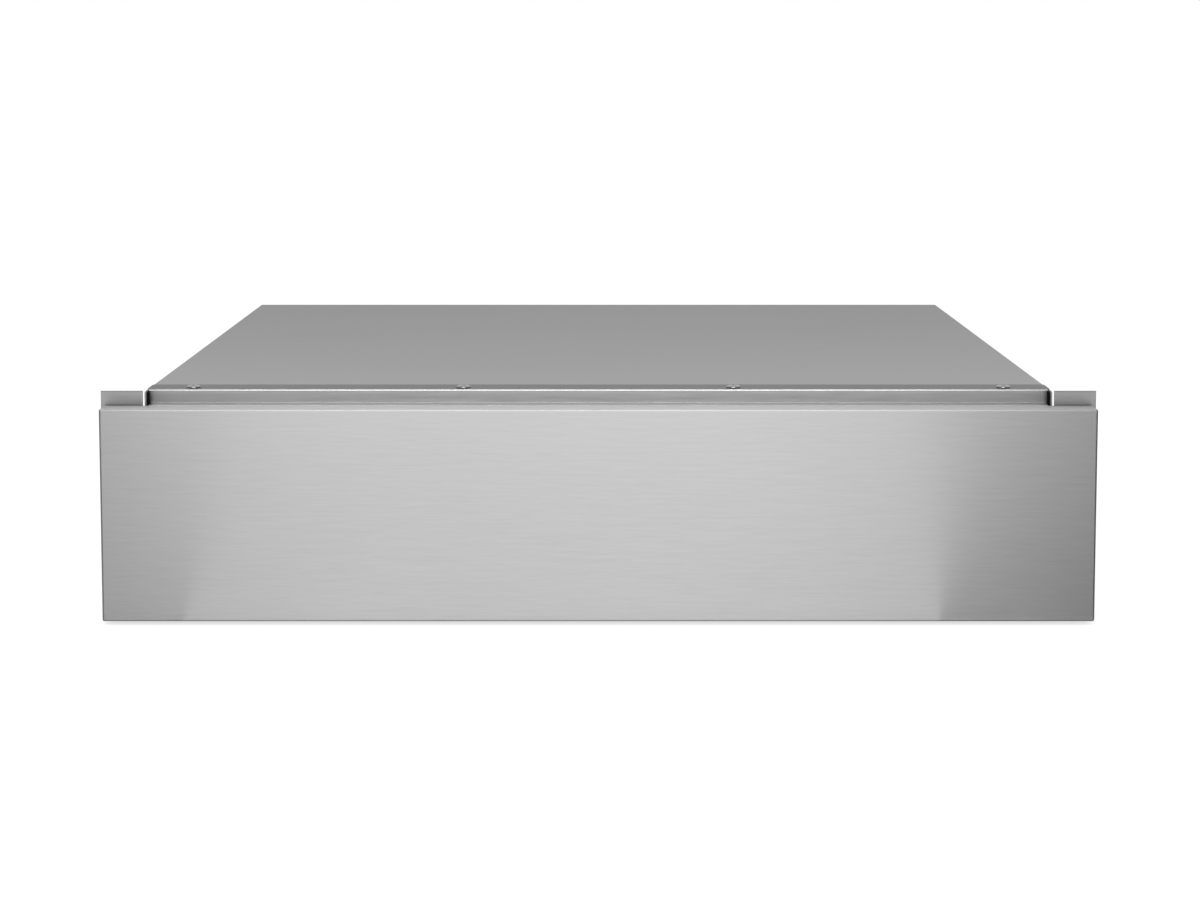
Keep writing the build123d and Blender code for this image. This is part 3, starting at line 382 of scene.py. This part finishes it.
def finish_brushed(name, dark, light, lines, roughness, relief_mm, anisotropy, edge_tone, corner_shade_depth, grain="X"):
    """Brushed steel: streaks in colour, gloss and relief, edges polished by handling, and painted shade in
    inner corners.
    """
    tree, shader, place, bump = start_finish(name, 1.0, relief_mm)
    streaks = place_group(tree, brushing, place, Lines=lines)
    tone = place_group(tree, clouds, place, Size=4.0)
    edges = place_group(tree, worn_edges, place, Radius=0.0007, Patchiness=0.3)
    mask = two_masks(tree, streaks.outputs["Streaks"], tone.outputs["Tone"], STREAK_SHARE)
    body = colour_between(tree, mask, dark, light)
    bright = worn_to(tree, body, edges.outputs["Wear"], edge_tone)
    # Painted shade in the inner corners, as deep as the finish asks.
    corner_shade = place_group(tree, painted_corner_shade, Reach=0.014, Depth=corner_shade_depth)
    tree.links.new(shaded(tree, bright, corner_shade.outputs["Shade"]), shader.inputs["Base Color"])
    tree.links.new(value_between(tree, streaks.outputs["Streaks"], *roughness), shader.inputs["Roughness"])
    tree.links.new(streaks.outputs["Height"], bump.inputs["Height"])
    across = add_node(tree, "ShaderNodeTangent", direction_type="RADIAL", axis=grain)
    tree.links.new(across.outputs["Tangent"], shader.inputs["Tangent"])
    shader.inputs["Anisotropic"].default_value = anisotropy
    return finishes[name]


finish_brushed("brushed_front", dark=grey(0.285), light=grey(0.325), lines=(70.0, 1500.0, 1500.0),
               roughness=(0.43, 0.49), relief_mm=0.0025, anisotropy=0.9, edge_tone=grey(0.62), corner_shade_depth=0.1)
print("finish: brushed front")

# %% [markdown]
# ### Rail steel
# The rail and the flanges share a stainless finish with a coarser, less directed grain than the front. The
# top flange of the rail is darker than its web in the photograph. It is seen at a grazing angle, where a
# metal mirrors nearly everything whatever its colour, so darkening the colour isn't enough: the shader's
# Specular Tint sets how much of that grazing light comes back.

# %% Rail steel
FLANGE_TONE = 0.7
FLANGE_GRAZING = 0.55
FLANGE_TOP_SKIN = 0.0001  # the shade is full down to here below the rail's top
FLANGE_FADE_END = 0.0009  # and gone from here

rail_steel = finish_brushed("rail_steel", dark=grey(0.29), light=grey(0.33), lines=(45.0, 900.0, 900.0),
                            roughness=(0.3, 0.38), relief_mm=0.002, anisotropy=0.5,
                            edge_tone=grey(0.34), corner_shade_depth=0.55)


def ramp_along(tree, axis, start, end):
    """Mask that runs from 0 at one place along an axis of the object to 1 at another."""
    place = add_node(tree, "ShaderNodeTexCoord")
    parts = add_node(tree, "ShaderNodeSeparateXYZ")
    tree.links.new(place.outputs["Object"], parts.inputs[0])
    spread = add_node(tree, "ShaderNodeMapRange")
    spread.inputs["From Min"].default_value = start
    spread.inputs["From Max"].default_value = end
    tree.links.new(parts.outputs[axis], spread.inputs["Value"])
    return spread.outputs["Result"]


def shade_by_mask(material, mask, tone, grazing_tone):
    """Painted shade: where the mask is 0, multiply a finish by tone and its grazing light by grazing_tone."""
    tree = material.node_tree
    shader = tree.nodes["Principled BSDF"]
    for label, dark in (("Base Color", tone), ("Specular Tint", grazing_tone)):
        socket = shader.inputs[label]
        shade = colour_between(tree, mask, grey(dark), grey(1.0))
        if socket.is_linked:
            shade = shaded(tree, socket.links[0].from_socket, shade)
        tree.links.new(shade, socket)


rail_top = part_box("front_rail")[1][2]
# Painted shade: the rail's top flange is darkened by its place, for the darker reflection it shows.
flange_down = ramp_along(rail_steel.node_tree, "Z", rail_top - FLANGE_TOP_SKIN, rail_top - FLANGE_FADE_END)
shade_by_mask(rail_steel, flange_down, FLANGE_TONE, FLANGE_GRAZING)
print("finish: rail steel")

# %% [markdown]
# ### Shades of the front's edges
# The front's top return is a narrow strip that is seen at a grazing angle too, so it mirrors what stands
# right behind it: the bright rail, and at both ends the dark foot of a mounting lug. That dark reflection is
# painted shade: the corner shade group finds the lugs by itself, and lets them go when the drawer opens. The
# folds down both sides and along the bottom turn away from the lamps and draw thin dark lines, so painted
# shade darkens them by their place.

# %% Shades of the front's edges
FOLD_BAND = 0.0012  # how far a fold reaches in from the front's outline
RETURN_SKIN = 0.0002  # how far below its top the front counts as its return
LUG_REACH = 0.028  # how far a lug darkens the return
RETURN_TONE = 0.2
FOLD_TONE = 0.5

edge_tree = finishes["brushed_front"].node_tree
return_level = front_high[2] - RETURN_SKIN
below_return = ramp_along(edge_tree, "Z", return_level, return_level - 2 * RETURN_SKIN)
# Painted shade on the return beside each lug, for the lug's dark reflection.
lug_shade = place_group(edge_tree, painted_corner_shade, Reach=LUG_REACH, Depth=1.0).outputs["Shade"]
return_free = maths(edge_tree, "MAXIMUM", below_return, lug_shade)
shade_by_mask(finishes["brushed_front"], return_free, RETURN_TONE, RETURN_TONE)

# Painted shade along the folds at both sides and along the bottom.
side_free = maths(edge_tree, "MULTIPLY", ramp_along(edge_tree, "X", front_low[0], front_low[0] + FOLD_BAND),
                  ramp_along(edge_tree, "X", front_high[0], front_high[0] - FOLD_BAND))
outline_free = maths(edge_tree, "MULTIPLY", side_free,
                     ramp_along(edge_tree, "Z", front_low[2], front_low[2] + FOLD_BAND))
behind_fold = ramp_along(edge_tree, "Y", front_low[1] + FOLD_BAND, front_low[1] + 1.2 * FOLD_BAND)
fold_free = maths(edge_tree, "MAXIMUM", outline_free, behind_fold)
shade_by_mask(finishes["brushed_front"], fold_free, FOLD_TONE, FOLD_TONE)
print("front's outline shaded over", FOLD_BAND * 1000, "mm")

# %% [markdown]
# ### Cover sheet
# The cover is plain satin sheet. In the photograph it is one even grey that gets a touch lighter towards the
# front, so its grain is broad and faint, its roughness high, and painted shade makes it darker towards the
# rear.

# %% Cover sheet
REAR_TONE = 0.84
REAR_GRAZING = 0.9

cover_steel = finish_brushed("cover_steel", dark=grey(0.265), light=grey(0.30), lines=(30.0, 420.0, 420.0),
                             roughness=(0.5, 0.58), relief_mm=0.002, anisotropy=0.2,
                             edge_tone=grey(0.4), corner_shade_depth=0.4)
cover_low, cover_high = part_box("top_cover")
# Painted shade: the cover gets darker towards its rear.
towards_front = ramp_along(cover_steel.node_tree, "Y", cover_high[1], cover_low[1])
shade_by_mask(cover_steel, towards_front, REAR_TONE, REAR_GRAZING)
print("finish: cover sheet")

# %% [markdown]
# ### Galvanised sheet
# The plain sheets of the case and of the drawer box are galvanised. Each crystal changes the tone and the
# gloss together, because it faces another way than its neighbour.

# %% Galvanised sheet
CRYSTAL_SHARE = 0.6  # of the crystals in the tone, the rest is clouds

tree, shader, place, bump = start_finish("galvanised", 0.85, 0.003)
flowers = place_group(tree, zinc_flowers, place, Crystals=150.0)
tone = place_group(tree, clouds, place, Size=5.0)
edges = place_group(tree, worn_edges, place, Radius=0.0006, Patchiness=0.7)
spangle = two_masks(tree, flowers.outputs["Flower"], tone.outputs["Tone"], CRYSTAL_SHARE)
sheet_colour = colour_between(tree, spangle, (0.38, 0.39, 0.405), (0.46, 0.47, 0.48))
cut_edge = worn_to(tree, sheet_colour, edges.outputs["Wear"], grey(0.6))
# Painted shade in the inner corners of the sheets.
corner_shade = place_group(tree, painted_corner_shade, Reach=0.02, Depth=0.7)
tree.links.new(shaded(tree, cut_edge, corner_shade.outputs["Shade"]), shader.inputs["Base Color"])
tree.links.new(value_between(tree, flowers.outputs["Flower"], 0.42, 0.48), shader.inputs["Roughness"])
tree.links.new(flowers.outputs["Height"], bump.inputs["Height"])
print("finish: galvanised sheet")

# %% [markdown]
# ### Zinc-plated slides
# The slides are roll-formed and zinc plated: brighter and bluer than the sheets, with long draw lines along
# their length.

# %% Slide zinc
finish_brushed("slide_zinc", dark=(0.50, 0.52, 0.55), light=(0.62, 0.64, 0.67), lines=(900.0, 25.0, 900.0),
               roughness=(0.36, 0.44), relief_mm=0.0015, anisotropy=0.3, edge_tone=grey(0.8),
               corner_shade_depth=0.8, grain="Y")
print("finish: slide zinc")

# %% [markdown]
# ### Bright fasteners, balls and spring
# Screws, rivets, balls and the spring are bright steel. They differ in polish: a ball is a mirror, a screw
# head has turning marks, and spring wire is duller. A screw's recess gets painted shade: the corner shade
# group is used at its full depth here, over a reach as short as the recess.

# %% Bright steel
def finish_bright(name, dark, light, rubbed, roughness, fineness, relief_mm):
    """Bright steel with fine marks and rubbed edges."""
    tree, shader, place, bump = start_finish(name, 1.0, relief_mm)
    marks = place_group(tree, moulded_grain, place, Fineness=fineness)
    edges = place_group(tree, worn_edges, place, Radius=0.00025, Patchiness=0.4)
    body = colour_between(tree, marks.outputs["Grain"], dark, light)
    lit = worn_to(tree, body, edges.outputs["Wear"], rubbed)
    # Painted shade in recesses and tight inner corners.
    recess_shade = place_group(tree, painted_corner_shade, Reach=0.0015, Depth=1.0)
    tree.links.new(shaded(tree, lit, recess_shade.outputs["Shade"]), shader.inputs["Base Color"])
    tree.links.new(value_between(tree, marks.outputs["Grain"], *roughness), shader.inputs["Roughness"])
    tree.links.new(marks.outputs["Grain"], bump.inputs["Height"])
    return finishes[name]


finish_bright("fastener_steel", dark=grey(0.21), light=grey(0.31), rubbed=grey(0.4),
              roughness=(0.14, 0.24), fineness=700.0, relief_mm=0.004)
finish_bright("ball_steel", dark=grey(0.78), light=grey(0.84), rubbed=grey(0.9),
              roughness=(0.04, 0.08), fineness=400.0, relief_mm=0.0005)
finish_bright("spring_steel", dark=grey(0.42), light=grey(0.55), rubbed=grey(0.8),
              roughness=(0.25, 0.4), fineness=1200.0, relief_mm=0.003)
print("finish: bright steel")

# %% [markdown]
# ### Plastics, foam and rubber
# The pads, levers and the plunger's tip are black moulded plastic, the latch is white acetal, the strips at
# the cover's ends are closed-cell foam, and the mat is rubber. The foam's near-black is painted shade, for
# the dark gap in which the strips sit. Dust lies in the relief of the dark ones, so their light colour is not
# black.

# %% Plastics
def finish_moulded(name, dark, light, rubbed, roughness, fineness, relief_mm, shine=0.5):
    """Moulded or foamed material with a fine grain and rubbed edges."""
    tree, shader, place, bump = start_finish(name, 0.0, relief_mm)
    grain = place_group(tree, moulded_grain, place, Fineness=fineness)
    tone = place_group(tree, clouds, place, Size=18.0)
    edges = place_group(tree, worn_edges, place, Radius=0.0004, Patchiness=0.8)
    mask = maths(tree, "MULTIPLY", grain.outputs["Grain"], maths(tree, "ADD", tone.outputs["Tone"], 0.5))
    body = colour_between(tree, mask, dark, light)
    half_worn = maths(tree, "MULTIPLY", edges.outputs["Wear"], 0.5)
    tree.links.new(worn_to(tree, body, half_worn, rubbed), shader.inputs["Base Color"])
    tree.links.new(value_between(tree, grain.outputs["Grain"], *roughness), shader.inputs["Roughness"])
    tree.links.new(grain.outputs["Grain"], bump.inputs["Height"])
    shader.inputs["Specular IOR Level"].default_value = shine
    return finishes[name]


finish_moulded("black_plastic", dark=grey(0.016), light=grey(0.035), rubbed=grey(0.08),
               roughness=(0.38, 0.55), fineness=1500.0, relief_mm=0.02)
finish_moulded("white_plastic", dark=grey(0.68), light=grey(0.78), rubbed=grey(0.85),
               roughness=(0.3, 0.42), fineness=900.0, relief_mm=0.01)
# Near black: painted shade for the gap in which the foam strips sit.
finish_moulded("black_foam", dark=grey(0.0015), light=grey(0.006), rubbed=grey(0.01),
               roughness=(0.85, 0.98), fineness=2600.0, relief_mm=0.08, shine=0.05)
finish_moulded("mat_rubber", dark=grey(0.035), light=grey(0.06), rubbed=grey(0.09),
               roughness=(0.6, 0.8), fineness=1100.0, relief_mm=0.03)
print("finish: plastics, foam and rubber")

# %% [markdown]
# ## Dress the solids
# Each node of the frame names a material slot in its record. The solids keep their shape and place, and only
# the material in the slot changes.

# %% Dress the solids
slot_of = {part["node"]: part["material_slot"] for part in frame["record"]["subparts"]}
for name, solid in frame["nodes"].items():
    finish = finishes[slot_of[name]]
    if not solid.data.materials:
        solid.data.materials.append(finish)
    for index in range(len(solid.data.materials)):
        solid.data.materials[index] = finish
print("dressed", len(slot_of), "solids with", len(finishes), "finishes")

# %% [markdown]
# ## Where the fasteners sit
# The solids already have a plain screw or rivet at every hole. Their seats can be read from the frame: the
# vertices of a node fall apart into one island per fastener, its axis is the direction in which it isn't
# round, and its head is where it is widest. No place has to be typed again.

# %% Seats of the fasteners
def islands(node):
    """The vertices of each separate solid in a node."""
    work = bmesh.new()
    work.from_mesh(frame["nodes"][node].data)
    bmesh.ops.remove_doubles(work, verts=work.verts, dist=1e-6)
    waiting = set(work.verts)
    found = []
    while waiting:
        stack = [waiting.pop()]
        island = []
        while stack:
            vertex = stack.pop()
            island.append(vertex.co.copy())
            for edge in vertex.link_edges:
                other = edge.other_vert(vertex)
                if other in waiting:
                    waiting.remove(other)
                    stack.append(other)
        found.append(island)
    work.free()
    return found


def seat_of(points):
    """(seat, outward direction, head radius, head height, shank length) of one fastener."""
    low = [min(p[i] for p in points) for i in range(3)]
    high = [max(p[i] for p in points) for i in range(3)]
    size = [b - a for a, b in zip(low, high)]
    axis = max(range(3), key=lambda i: abs(2 * size[i] - size[i - 1] - size[i - 2]))
    middle = Vector((a + b) / 2 for a, b in zip(low, high))
    radius = size[axis - 1] / 2
    rim = [p[axis] for p in points
           if (Vector(p) - middle).length_squared - (p[axis] - middle[axis]) ** 2 > (0.97 * radius) ** 2]
    outward = 1 if sum(rim) / len(rim) > middle[axis] else -1
    seat = middle.copy()
    seat[axis] = min(rim) if outward > 0 else max(rim)
    end = high[axis] if outward > 0 else low[axis]
    direction = Vector((0.0, 0.0, 0.0))
    direction[axis] = outward
    head_height = abs(end - seat[axis])
    return seat, direction, radius, head_height, size[axis] - head_height


screw_seats = [seat_of(points) for points in islands("rail_screws")]
print("rail screws:", [tuple(round(v, 4) for v in seat[0]) for seat in screw_seats])

# %% [markdown]
# ## Turned shapes
# Screws and rivets are round. Each is drawn as one half profile from top to bottom, and the profile is turned
# about the axis. A point on the axis becomes one vertex, any other point a ring.

# %% Turned shapes
def turned(name, profile, segments=48):
    """A closed solid of revolution about Z from (radius, height) points, from top to bottom."""
    work = bmesh.new()
    rings = []
    for radius, height in profile:
        if radius == 0:
            rings.append([work.verts.new((0.0, 0.0, height))])
            continue
        rings.append([work.verts.new((radius * math.cos(2 * math.pi * i / segments),
                                      radius * math.sin(2 * math.pi * i / segments), height))
                      for i in range(segments)])
    for upper, lower in zip(rings, rings[1:]):
        for i in range(segments):
            j = (i + 1) % segments
            corners = [ring[k % len(ring)] for ring, k in ((upper, i), (lower, i), (lower, j), (upper, j))]
            work.faces.new(list(dict.fromkeys(corners)))
    bmesh.ops.recalc_face_normals(work, faces=work.faces)
    mesh = bpy.data.meshes.new(name)
    work.to_mesh(mesh)
    work.free()
    return mesh


print("turned shapes ready")

# %% [markdown]
# ## Pan-head screws
# A pan head is a low dome over an upright rim, with a cross recess whose walls lean inwards. The dome is
# turned. The recess is cut by a tapered cross with the Boolean modifier, which gives true edges, and a small
# Bevel modifier takes their sharpness off. All sizes are shares of the head that the seat gives.

# %% Pan head
CROSS_FOOT = 0.45  # the cross narrows to this share at its foot


def cross_cutter(arm, width, depth, top):
    """A cross whose arms narrow downwards."""
    work = bmesh.new()
    outline = [(arm, -width), (arm, width), (width, width), (width, arm),
               (-width, arm), (-width, width), (-arm, width), (-arm, -width),
               (-width, -width), (-width, -arm), (width, -arm), (width, -width)]
    lower = [work.verts.new((x * CROSS_FOOT, y * CROSS_FOOT, top - depth)) for x, y in outline]
    upper = [work.verts.new((x, y, top + depth * 0.2)) for x, y in outline]
    work.faces.new(list(reversed(lower)))
    work.faces.new(upper)
    for i in range(len(outline)):
        j = (i + 1) % len(outline)
        work.faces.new([lower[i], lower[j], upper[j], upper[i]])
    mesh = bpy.data.meshes.new("cross_cutter")
    work.to_mesh(mesh)
    work.free()
    return mesh


def pan_head(radius, height, shank):
    """Mesh of one pan-head screw, seated at the origin with its head up."""
    rim = 0.35 * height
    dome = [(radius * math.sin(a), rim + (height - rim) * math.cos(a))
            for a in (math.radians(d) for d in (15, 30, 45, 60, 72, 82, 90))]
    thread = []
    turns = 8
    for i in range(turns):
        thread += [(0.40 * radius, -shank * (i + 0.5) / turns), (0.45 * radius, -shank * (i + 1) / turns)]
    profile = [(0, height)] + dome + [(radius, 0.1 * height), (radius * 0.97, 0.0), (0.45 * radius, 0.0)]
    solid = bpy.data.objects.new("pan_head", turned("pan_head", profile + thread + [(0, -shank)]))
    cross = cross_cutter(arm=0.52 * radius, width=0.11 * radius, depth=0.75 * height, top=height)
    cutter = bpy.data.objects.new("cutter", cross)
    for piece in (solid, cutter):
        bpy.context.scene.collection.objects.link(piece)
    recess = solid.modifiers.new("recess", "BOOLEAN")
    recess.object = cutter
    recess.solver = "EXACT"
    edge = solid.modifiers.new("edge", "BEVEL")
    edge.width = 0.03 * height
    edge.limit_method = "ANGLE"
    edge.angle_limit = math.radians(40)
    graph = bpy.context.evaluated_depsgraph_get()
    mesh = bpy.data.meshes.new_from_object(solid.evaluated_get(graph))
    for piece in (solid, cutter):
        bpy.data.objects.remove(piece)
    return mesh


print("pan head ready")

# %% [markdown]
# ## Seat copies on a node
# The copies of one fastener become one object that stands for the plain solids of its node. Each copy turns
# its Z axis to the seat's outward direction, and a turn of its own, so the crosses don't all line up.

# %% Seat copies
TURN_DEGREES = 37.0  # each copy is turned this much further than the one before
SHARP_DEGREES = 38.0  # edges sharper than this aren't smoothed


def seat_copies(node, make):
    """Replace a node's plain fasteners by finely made ones, and let them ride with the node's body."""
    seats = [seat_of(points) for points in islands(node)]
    pattern = make(*[round(v, 5) for v in seats[0][2:]])
    joined = bmesh.new()
    for index, (seat, direction, *_) in enumerate(sorted(seats, key=lambda s: tuple(s[0]))):
        own_turn = Matrix.Rotation(math.radians(TURN_DEGREES * index), 4, "Z")
        aim = direction.to_track_quat("Z", "Y").to_matrix().to_4x4()
        copy = pattern.copy()
        copy.transform(Matrix.Translation(seat) @ aim @ own_turn)
        joined.from_mesh(copy)
        bpy.data.meshes.remove(copy)
    mesh = bpy.data.meshes.new(f"{node}_made")
    joined.to_mesh(mesh)
    joined.free()
    mesh.materials.clear()
    mesh.materials.append(finishes[slot_of[node]])
    for polygon in mesh.polygons:
        polygon.use_smooth = True
    mesh.set_sharp_from_angle(angle=math.radians(SHARP_DEGREES))
    made = bpy.data.objects.new(f"{node}_made", mesh)
    bpy.context.scene.collection.objects.link(made)
    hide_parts(node)
    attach(made, frame["nodes"][node]["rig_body"])
    return made


for node in ("rail_screws", "cover_screws", "panel_screws"):
    made = seat_copies(node, pan_head)
    print(made.name, "faces:", len(made.data.polygons))

# %% [markdown]
# ## Rivets
# A blind rivet has a low dome with a small dimple where its mandrel broke off. It is one turned profile, and
# its numbers are shares of the head's radius and height.

# %% Rivets
def dome_rivet(radius, height, grip):
    """Mesh of one blind rivet, seated at the origin with its head up."""
    dimple = [(0, 0.55 * height), (0.22 * radius, 0.6 * height), (0.27 * radius, 0.93 * height)]
    dome = [(radius * math.sin(a), height * (0.15 + 0.85 * math.cos(a)))
            for a in (math.radians(d) for d in (20, 35, 50, 65, 80, 90))]
    return turned("dome_rivet", dimple + dome + [(radius, 0.0), (0.53 * radius, 0.0), (0.53 * radius, -grip),
                                                 (0, -grip)], segments=32)


RIVET_NODES = ("flange_rivets", "case_rivets", "slide_outer_rivets", "slide_inner_rivets", "tray_rivets",
               "striker_rivets", "latch_rivets")
for node in RIVET_NODES:
    made = seat_copies(node, dome_rivet)
    print(made.name, "faces:", len(made.data.polygons))

# %% [markdown]
# ## The ribbed mat
# The mat on the drawer's floor is rubber with fine ribs from front to back. One strip across gives the rib
# profile, and each of its points is drawn out along Y. Near the corners the lines get shorter, which rounds
# the mat without any cutting.

# %% Ribbed mat
RIB_PITCH = 0.004
RIB_SHARE = 0.45  # of the pitch, at the rib's foot
RIB_SLOPE = 0.1  # of the pitch, on each flank
ROOT_SHARE = 0.6  # of the mat's thickness, under the ribs
CORNER = 0.006


def ribbed_mat(low, high):
    """Mesh of the mat inside its box."""
    width, top, root = high[0] - low[0], high[2], low[2] + ROOT_SHARE * (high[2] - low[2])
    count = round(width / RIB_PITCH)
    pitch = width / count
    line = [(0.0, root)]
    for i in range(count):
        start = i * pitch + pitch * (1 - RIB_SHARE) / 2
        line += [(start, root), (start + RIB_SLOPE * pitch, top),
                 (start + RIB_SHARE * pitch - RIB_SLOPE * pitch, top), (start + RIB_SHARE * pitch, root)]
    line.append((width, root))
    work = bmesh.new()
    rows = []
    for x, z in line:
        inset = max(0.0, CORNER - min(x, width - x))
        short = CORNER - math.sqrt(max(0.0, CORNER ** 2 - inset ** 2))
        ends = (low[1] + short, high[1] - short)
        rows.append([work.verts.new((low[0] + x, y, level)) for level in (z, low[2]) for y in ends])
    for here, there in zip(rows, rows[1:]):
        for a, b in ((0, 1), (1, 3), (3, 2), (2, 0)):
            work.faces.new([here[a], there[a], there[b], here[b]])
    for row in (rows[0], rows[-1]):
        work.faces.new([row[0], row[1], row[3], row[2]])
    bmesh.ops.recalc_face_normals(work, faces=work.faces)
    mesh = bpy.data.meshes.new("ribbed_mat")
    work.to_mesh(mesh)
    work.free()
    return mesh, count


mat_mesh, rib_count = ribbed_mat(*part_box("drawer_mat"))
mat_mesh.materials.append(finishes["mat_rubber"])
ribbed = bpy.data.objects.new("ribbed_mat", mat_mesh)
bpy.context.scene.collection.objects.link(ribbed)
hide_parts("drawer_mat")
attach(ribbed, frame["nodes"]["drawer_mat"]["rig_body"])
print("ribs in the mat:", rib_count)

# %% [markdown]
# ## Studio
# The photograph has a plain white ground and soft light without hard shadows. A white world and a large floor
# give it. The floor is matt paper, which keeps the drawer's shadow. Its Light Path node mixes a glow into it
# for the camera and for mirrors, so both see it pale while the lamps stay low.

# %% Floor and world
FLOOR_SIZE = 30.0
PAPER_TONE = 0.9
GLOW = 1.12
CAMERA_LIFT = 0.6  # share of the glow that the camera sees
MIRROR_LIFT = 0.85  # share of the glow that mirrors and glass see

floor_mesh = bpy.data.meshes.new("studio_floor")
half = FLOOR_SIZE / 2
floor_corners = [(-half, -half, 0), (half, -half, 0), (half, half, 0), (-half, half, 0)]
floor_mesh.from_pydata(floor_corners, [], [(0, 1, 2, 3)])
floor = bpy.data.objects.new("studio_floor", floor_mesh)
bpy.context.scene.collection.objects.link(floor)

paper = bpy.data.materials.new("studio_paper")
paper.use_nodes = True
tree = paper.node_tree
tree.nodes.remove(tree.nodes["Principled BSDF"])
matt = add_node(tree, "ShaderNodeBsdfDiffuse")
matt.inputs["Color"].default_value = (*grey(PAPER_TONE), 1.0)
glow = add_node(tree, "ShaderNodeEmission")
glow.inputs["Strength"].default_value = GLOW
path = add_node(tree, "ShaderNodeLightPath")
mirrored = maths(tree, "MAXIMUM", path.outputs["Is Glossy Ray"], path.outputs["Is Transmission Ray"])
lift = maths(tree, "MAXIMUM", maths(tree, "MULTIPLY", path.outputs["Is Camera Ray"], CAMERA_LIFT),
             maths(tree, "MULTIPLY", mirrored, MIRROR_LIFT))
blend = add_node(tree, "ShaderNodeMixShader")
tree.links.new(lift, blend.inputs[0])
tree.links.new(matt.outputs[0], blend.inputs[1])
tree.links.new(glow.outputs[0], blend.inputs[2])
tree.links.new(blend.outputs[0], tree.nodes["Material Output"].inputs["Surface"])
floor_mesh.materials.append(paper)

world = bpy.data.worlds.new("studio_world")
bpy.context.scene.world = world
world.use_nodes = True
sky = world.node_tree.nodes["Background"]
sky.inputs["Color"].default_value = (*grey(1.0), 1.0)
sky.inputs["Strength"].default_value = 1.0
print("floor and world ready")

# %% [markdown]
# ### Lamps
# One wide soft box hangs over the camera. A brushed front spreads what it mirrors upright, so the box shows
# as the bright middle of the front that fades towards the ends. A narrow, weak strip light hangs high above
# and a little before the front: it is there for the bright line along the front's upper fold.

# %% Lamps
def soft_box(name, place, target, width, height, watts):
    """An area lamp that looks at its target."""
    data = bpy.data.lights.new(name, "AREA")
    data.shape = "RECTANGLE"
    data.size, data.size_y = width, height
    data.energy = watts
    lamp = bpy.data.objects.new(name, data)
    lamp.location = place
    lamp.rotation_euler = (Vector(target) - Vector(place)).to_track_quat("-Z", "Y").to_euler()
    bpy.context.scene.collection.objects.link(lamp)
    return lamp


bpy.context.scene.view_settings.view_transform = "Standard"
front_face = (0.0, front_low[1], 0.5 * front_high[2])
upper_fold = (0.0, front_low[1], front_high[2])
soft_box("front_soft_box", (-0.045, -1.9, 1.0), front_face, width=1.26, height=0.7, watts=24.0)
soft_box("edge_strip_light", (-0.05, front_low[1] - 0.25, 1.2), upper_fold, width=1.0, height=0.12, watts=3.0)
print("lamps:", len(bpy.data.lights))

# %% [markdown]
# ### Dark cards
# Photographers put dark cards beside shiny things, out of the picture, to give them dark edges to mirror.
# These cards are there for reflections: they throw no shadow and the camera doesn't see them. Each side has
# one on the floor and an upright one. Those on the right are darker and reach further in, which makes the
# right end of the front deeper than the left one, as in the photograph.

# %% Dark cards
CARD_END = 1.5  # outer end of every card
CARD_GAP = 0.002  # between a card on the floor and the front
CARD_THICKNESS = 0.0015
CARD_PLANE = -1.2  # where the upright cards stand
CARD_HEIGHT = 1.4


def dark_card(name, corners, tone):
    """A matt card that only reflections see."""
    mesh = bpy.data.meshes.new(name)
    mesh.from_pydata(corners, [], [(0, 1, 2, 3)])
    card = bpy.data.objects.new(name, mesh)
    bpy.context.scene.collection.objects.link(card)
    card.visible_camera = False
    card.visible_diffuse = False
    card.visible_shadow = False
    board = bpy.data.materials.new(name)
    board.use_nodes = True
    shader = board.node_tree.nodes["Principled BSDF"]
    shader.inputs["Base Color"].default_value = (*grey(tone), 1.0)
    shader.inputs["Roughness"].default_value = 1.0
    mesh.materials.append(board)
    return card


def card_on_floor(name, side, start, far_start, reach, tone):
    """A card on the floor before the front, from start outwards, or from far_start at its far edge."""
    outer, near, above = side * CARD_END, front_low[1] - CARD_GAP, CARD_THICKNESS
    return dark_card(name, [(side * start, near, above), (side * far_start, near - reach, above),
                            (outer, near - reach, above), (outer, near, above)], tone)


def upright_card(name, side, start, tone):
    """A card that stands on the floor between the camera and the front, from start outwards."""
    low, high = CARD_THICKNESS, CARD_HEIGHT
    return dark_card(name, [(side * start, CARD_PLANE, low), (side * CARD_END, CARD_PLANE, low),
                            (side * CARD_END, CARD_PLANE, high), (side * start, CARD_PLANE, high)], tone)


cards = [card_on_floor("right_floor_card", side=1, start=0.205, far_start=0.27, reach=0.25, tone=0.0),
         card_on_floor("left_floor_card", side=-1, start=0.25, far_start=0.25, reach=0.13, tone=0.4),
         upright_card("right_upright_card", side=1, start=0.60, tone=0.02),
         upright_card("left_upright_card", side=-1, start=0.62, tone=0.05)]
print("cards:", len(cards))
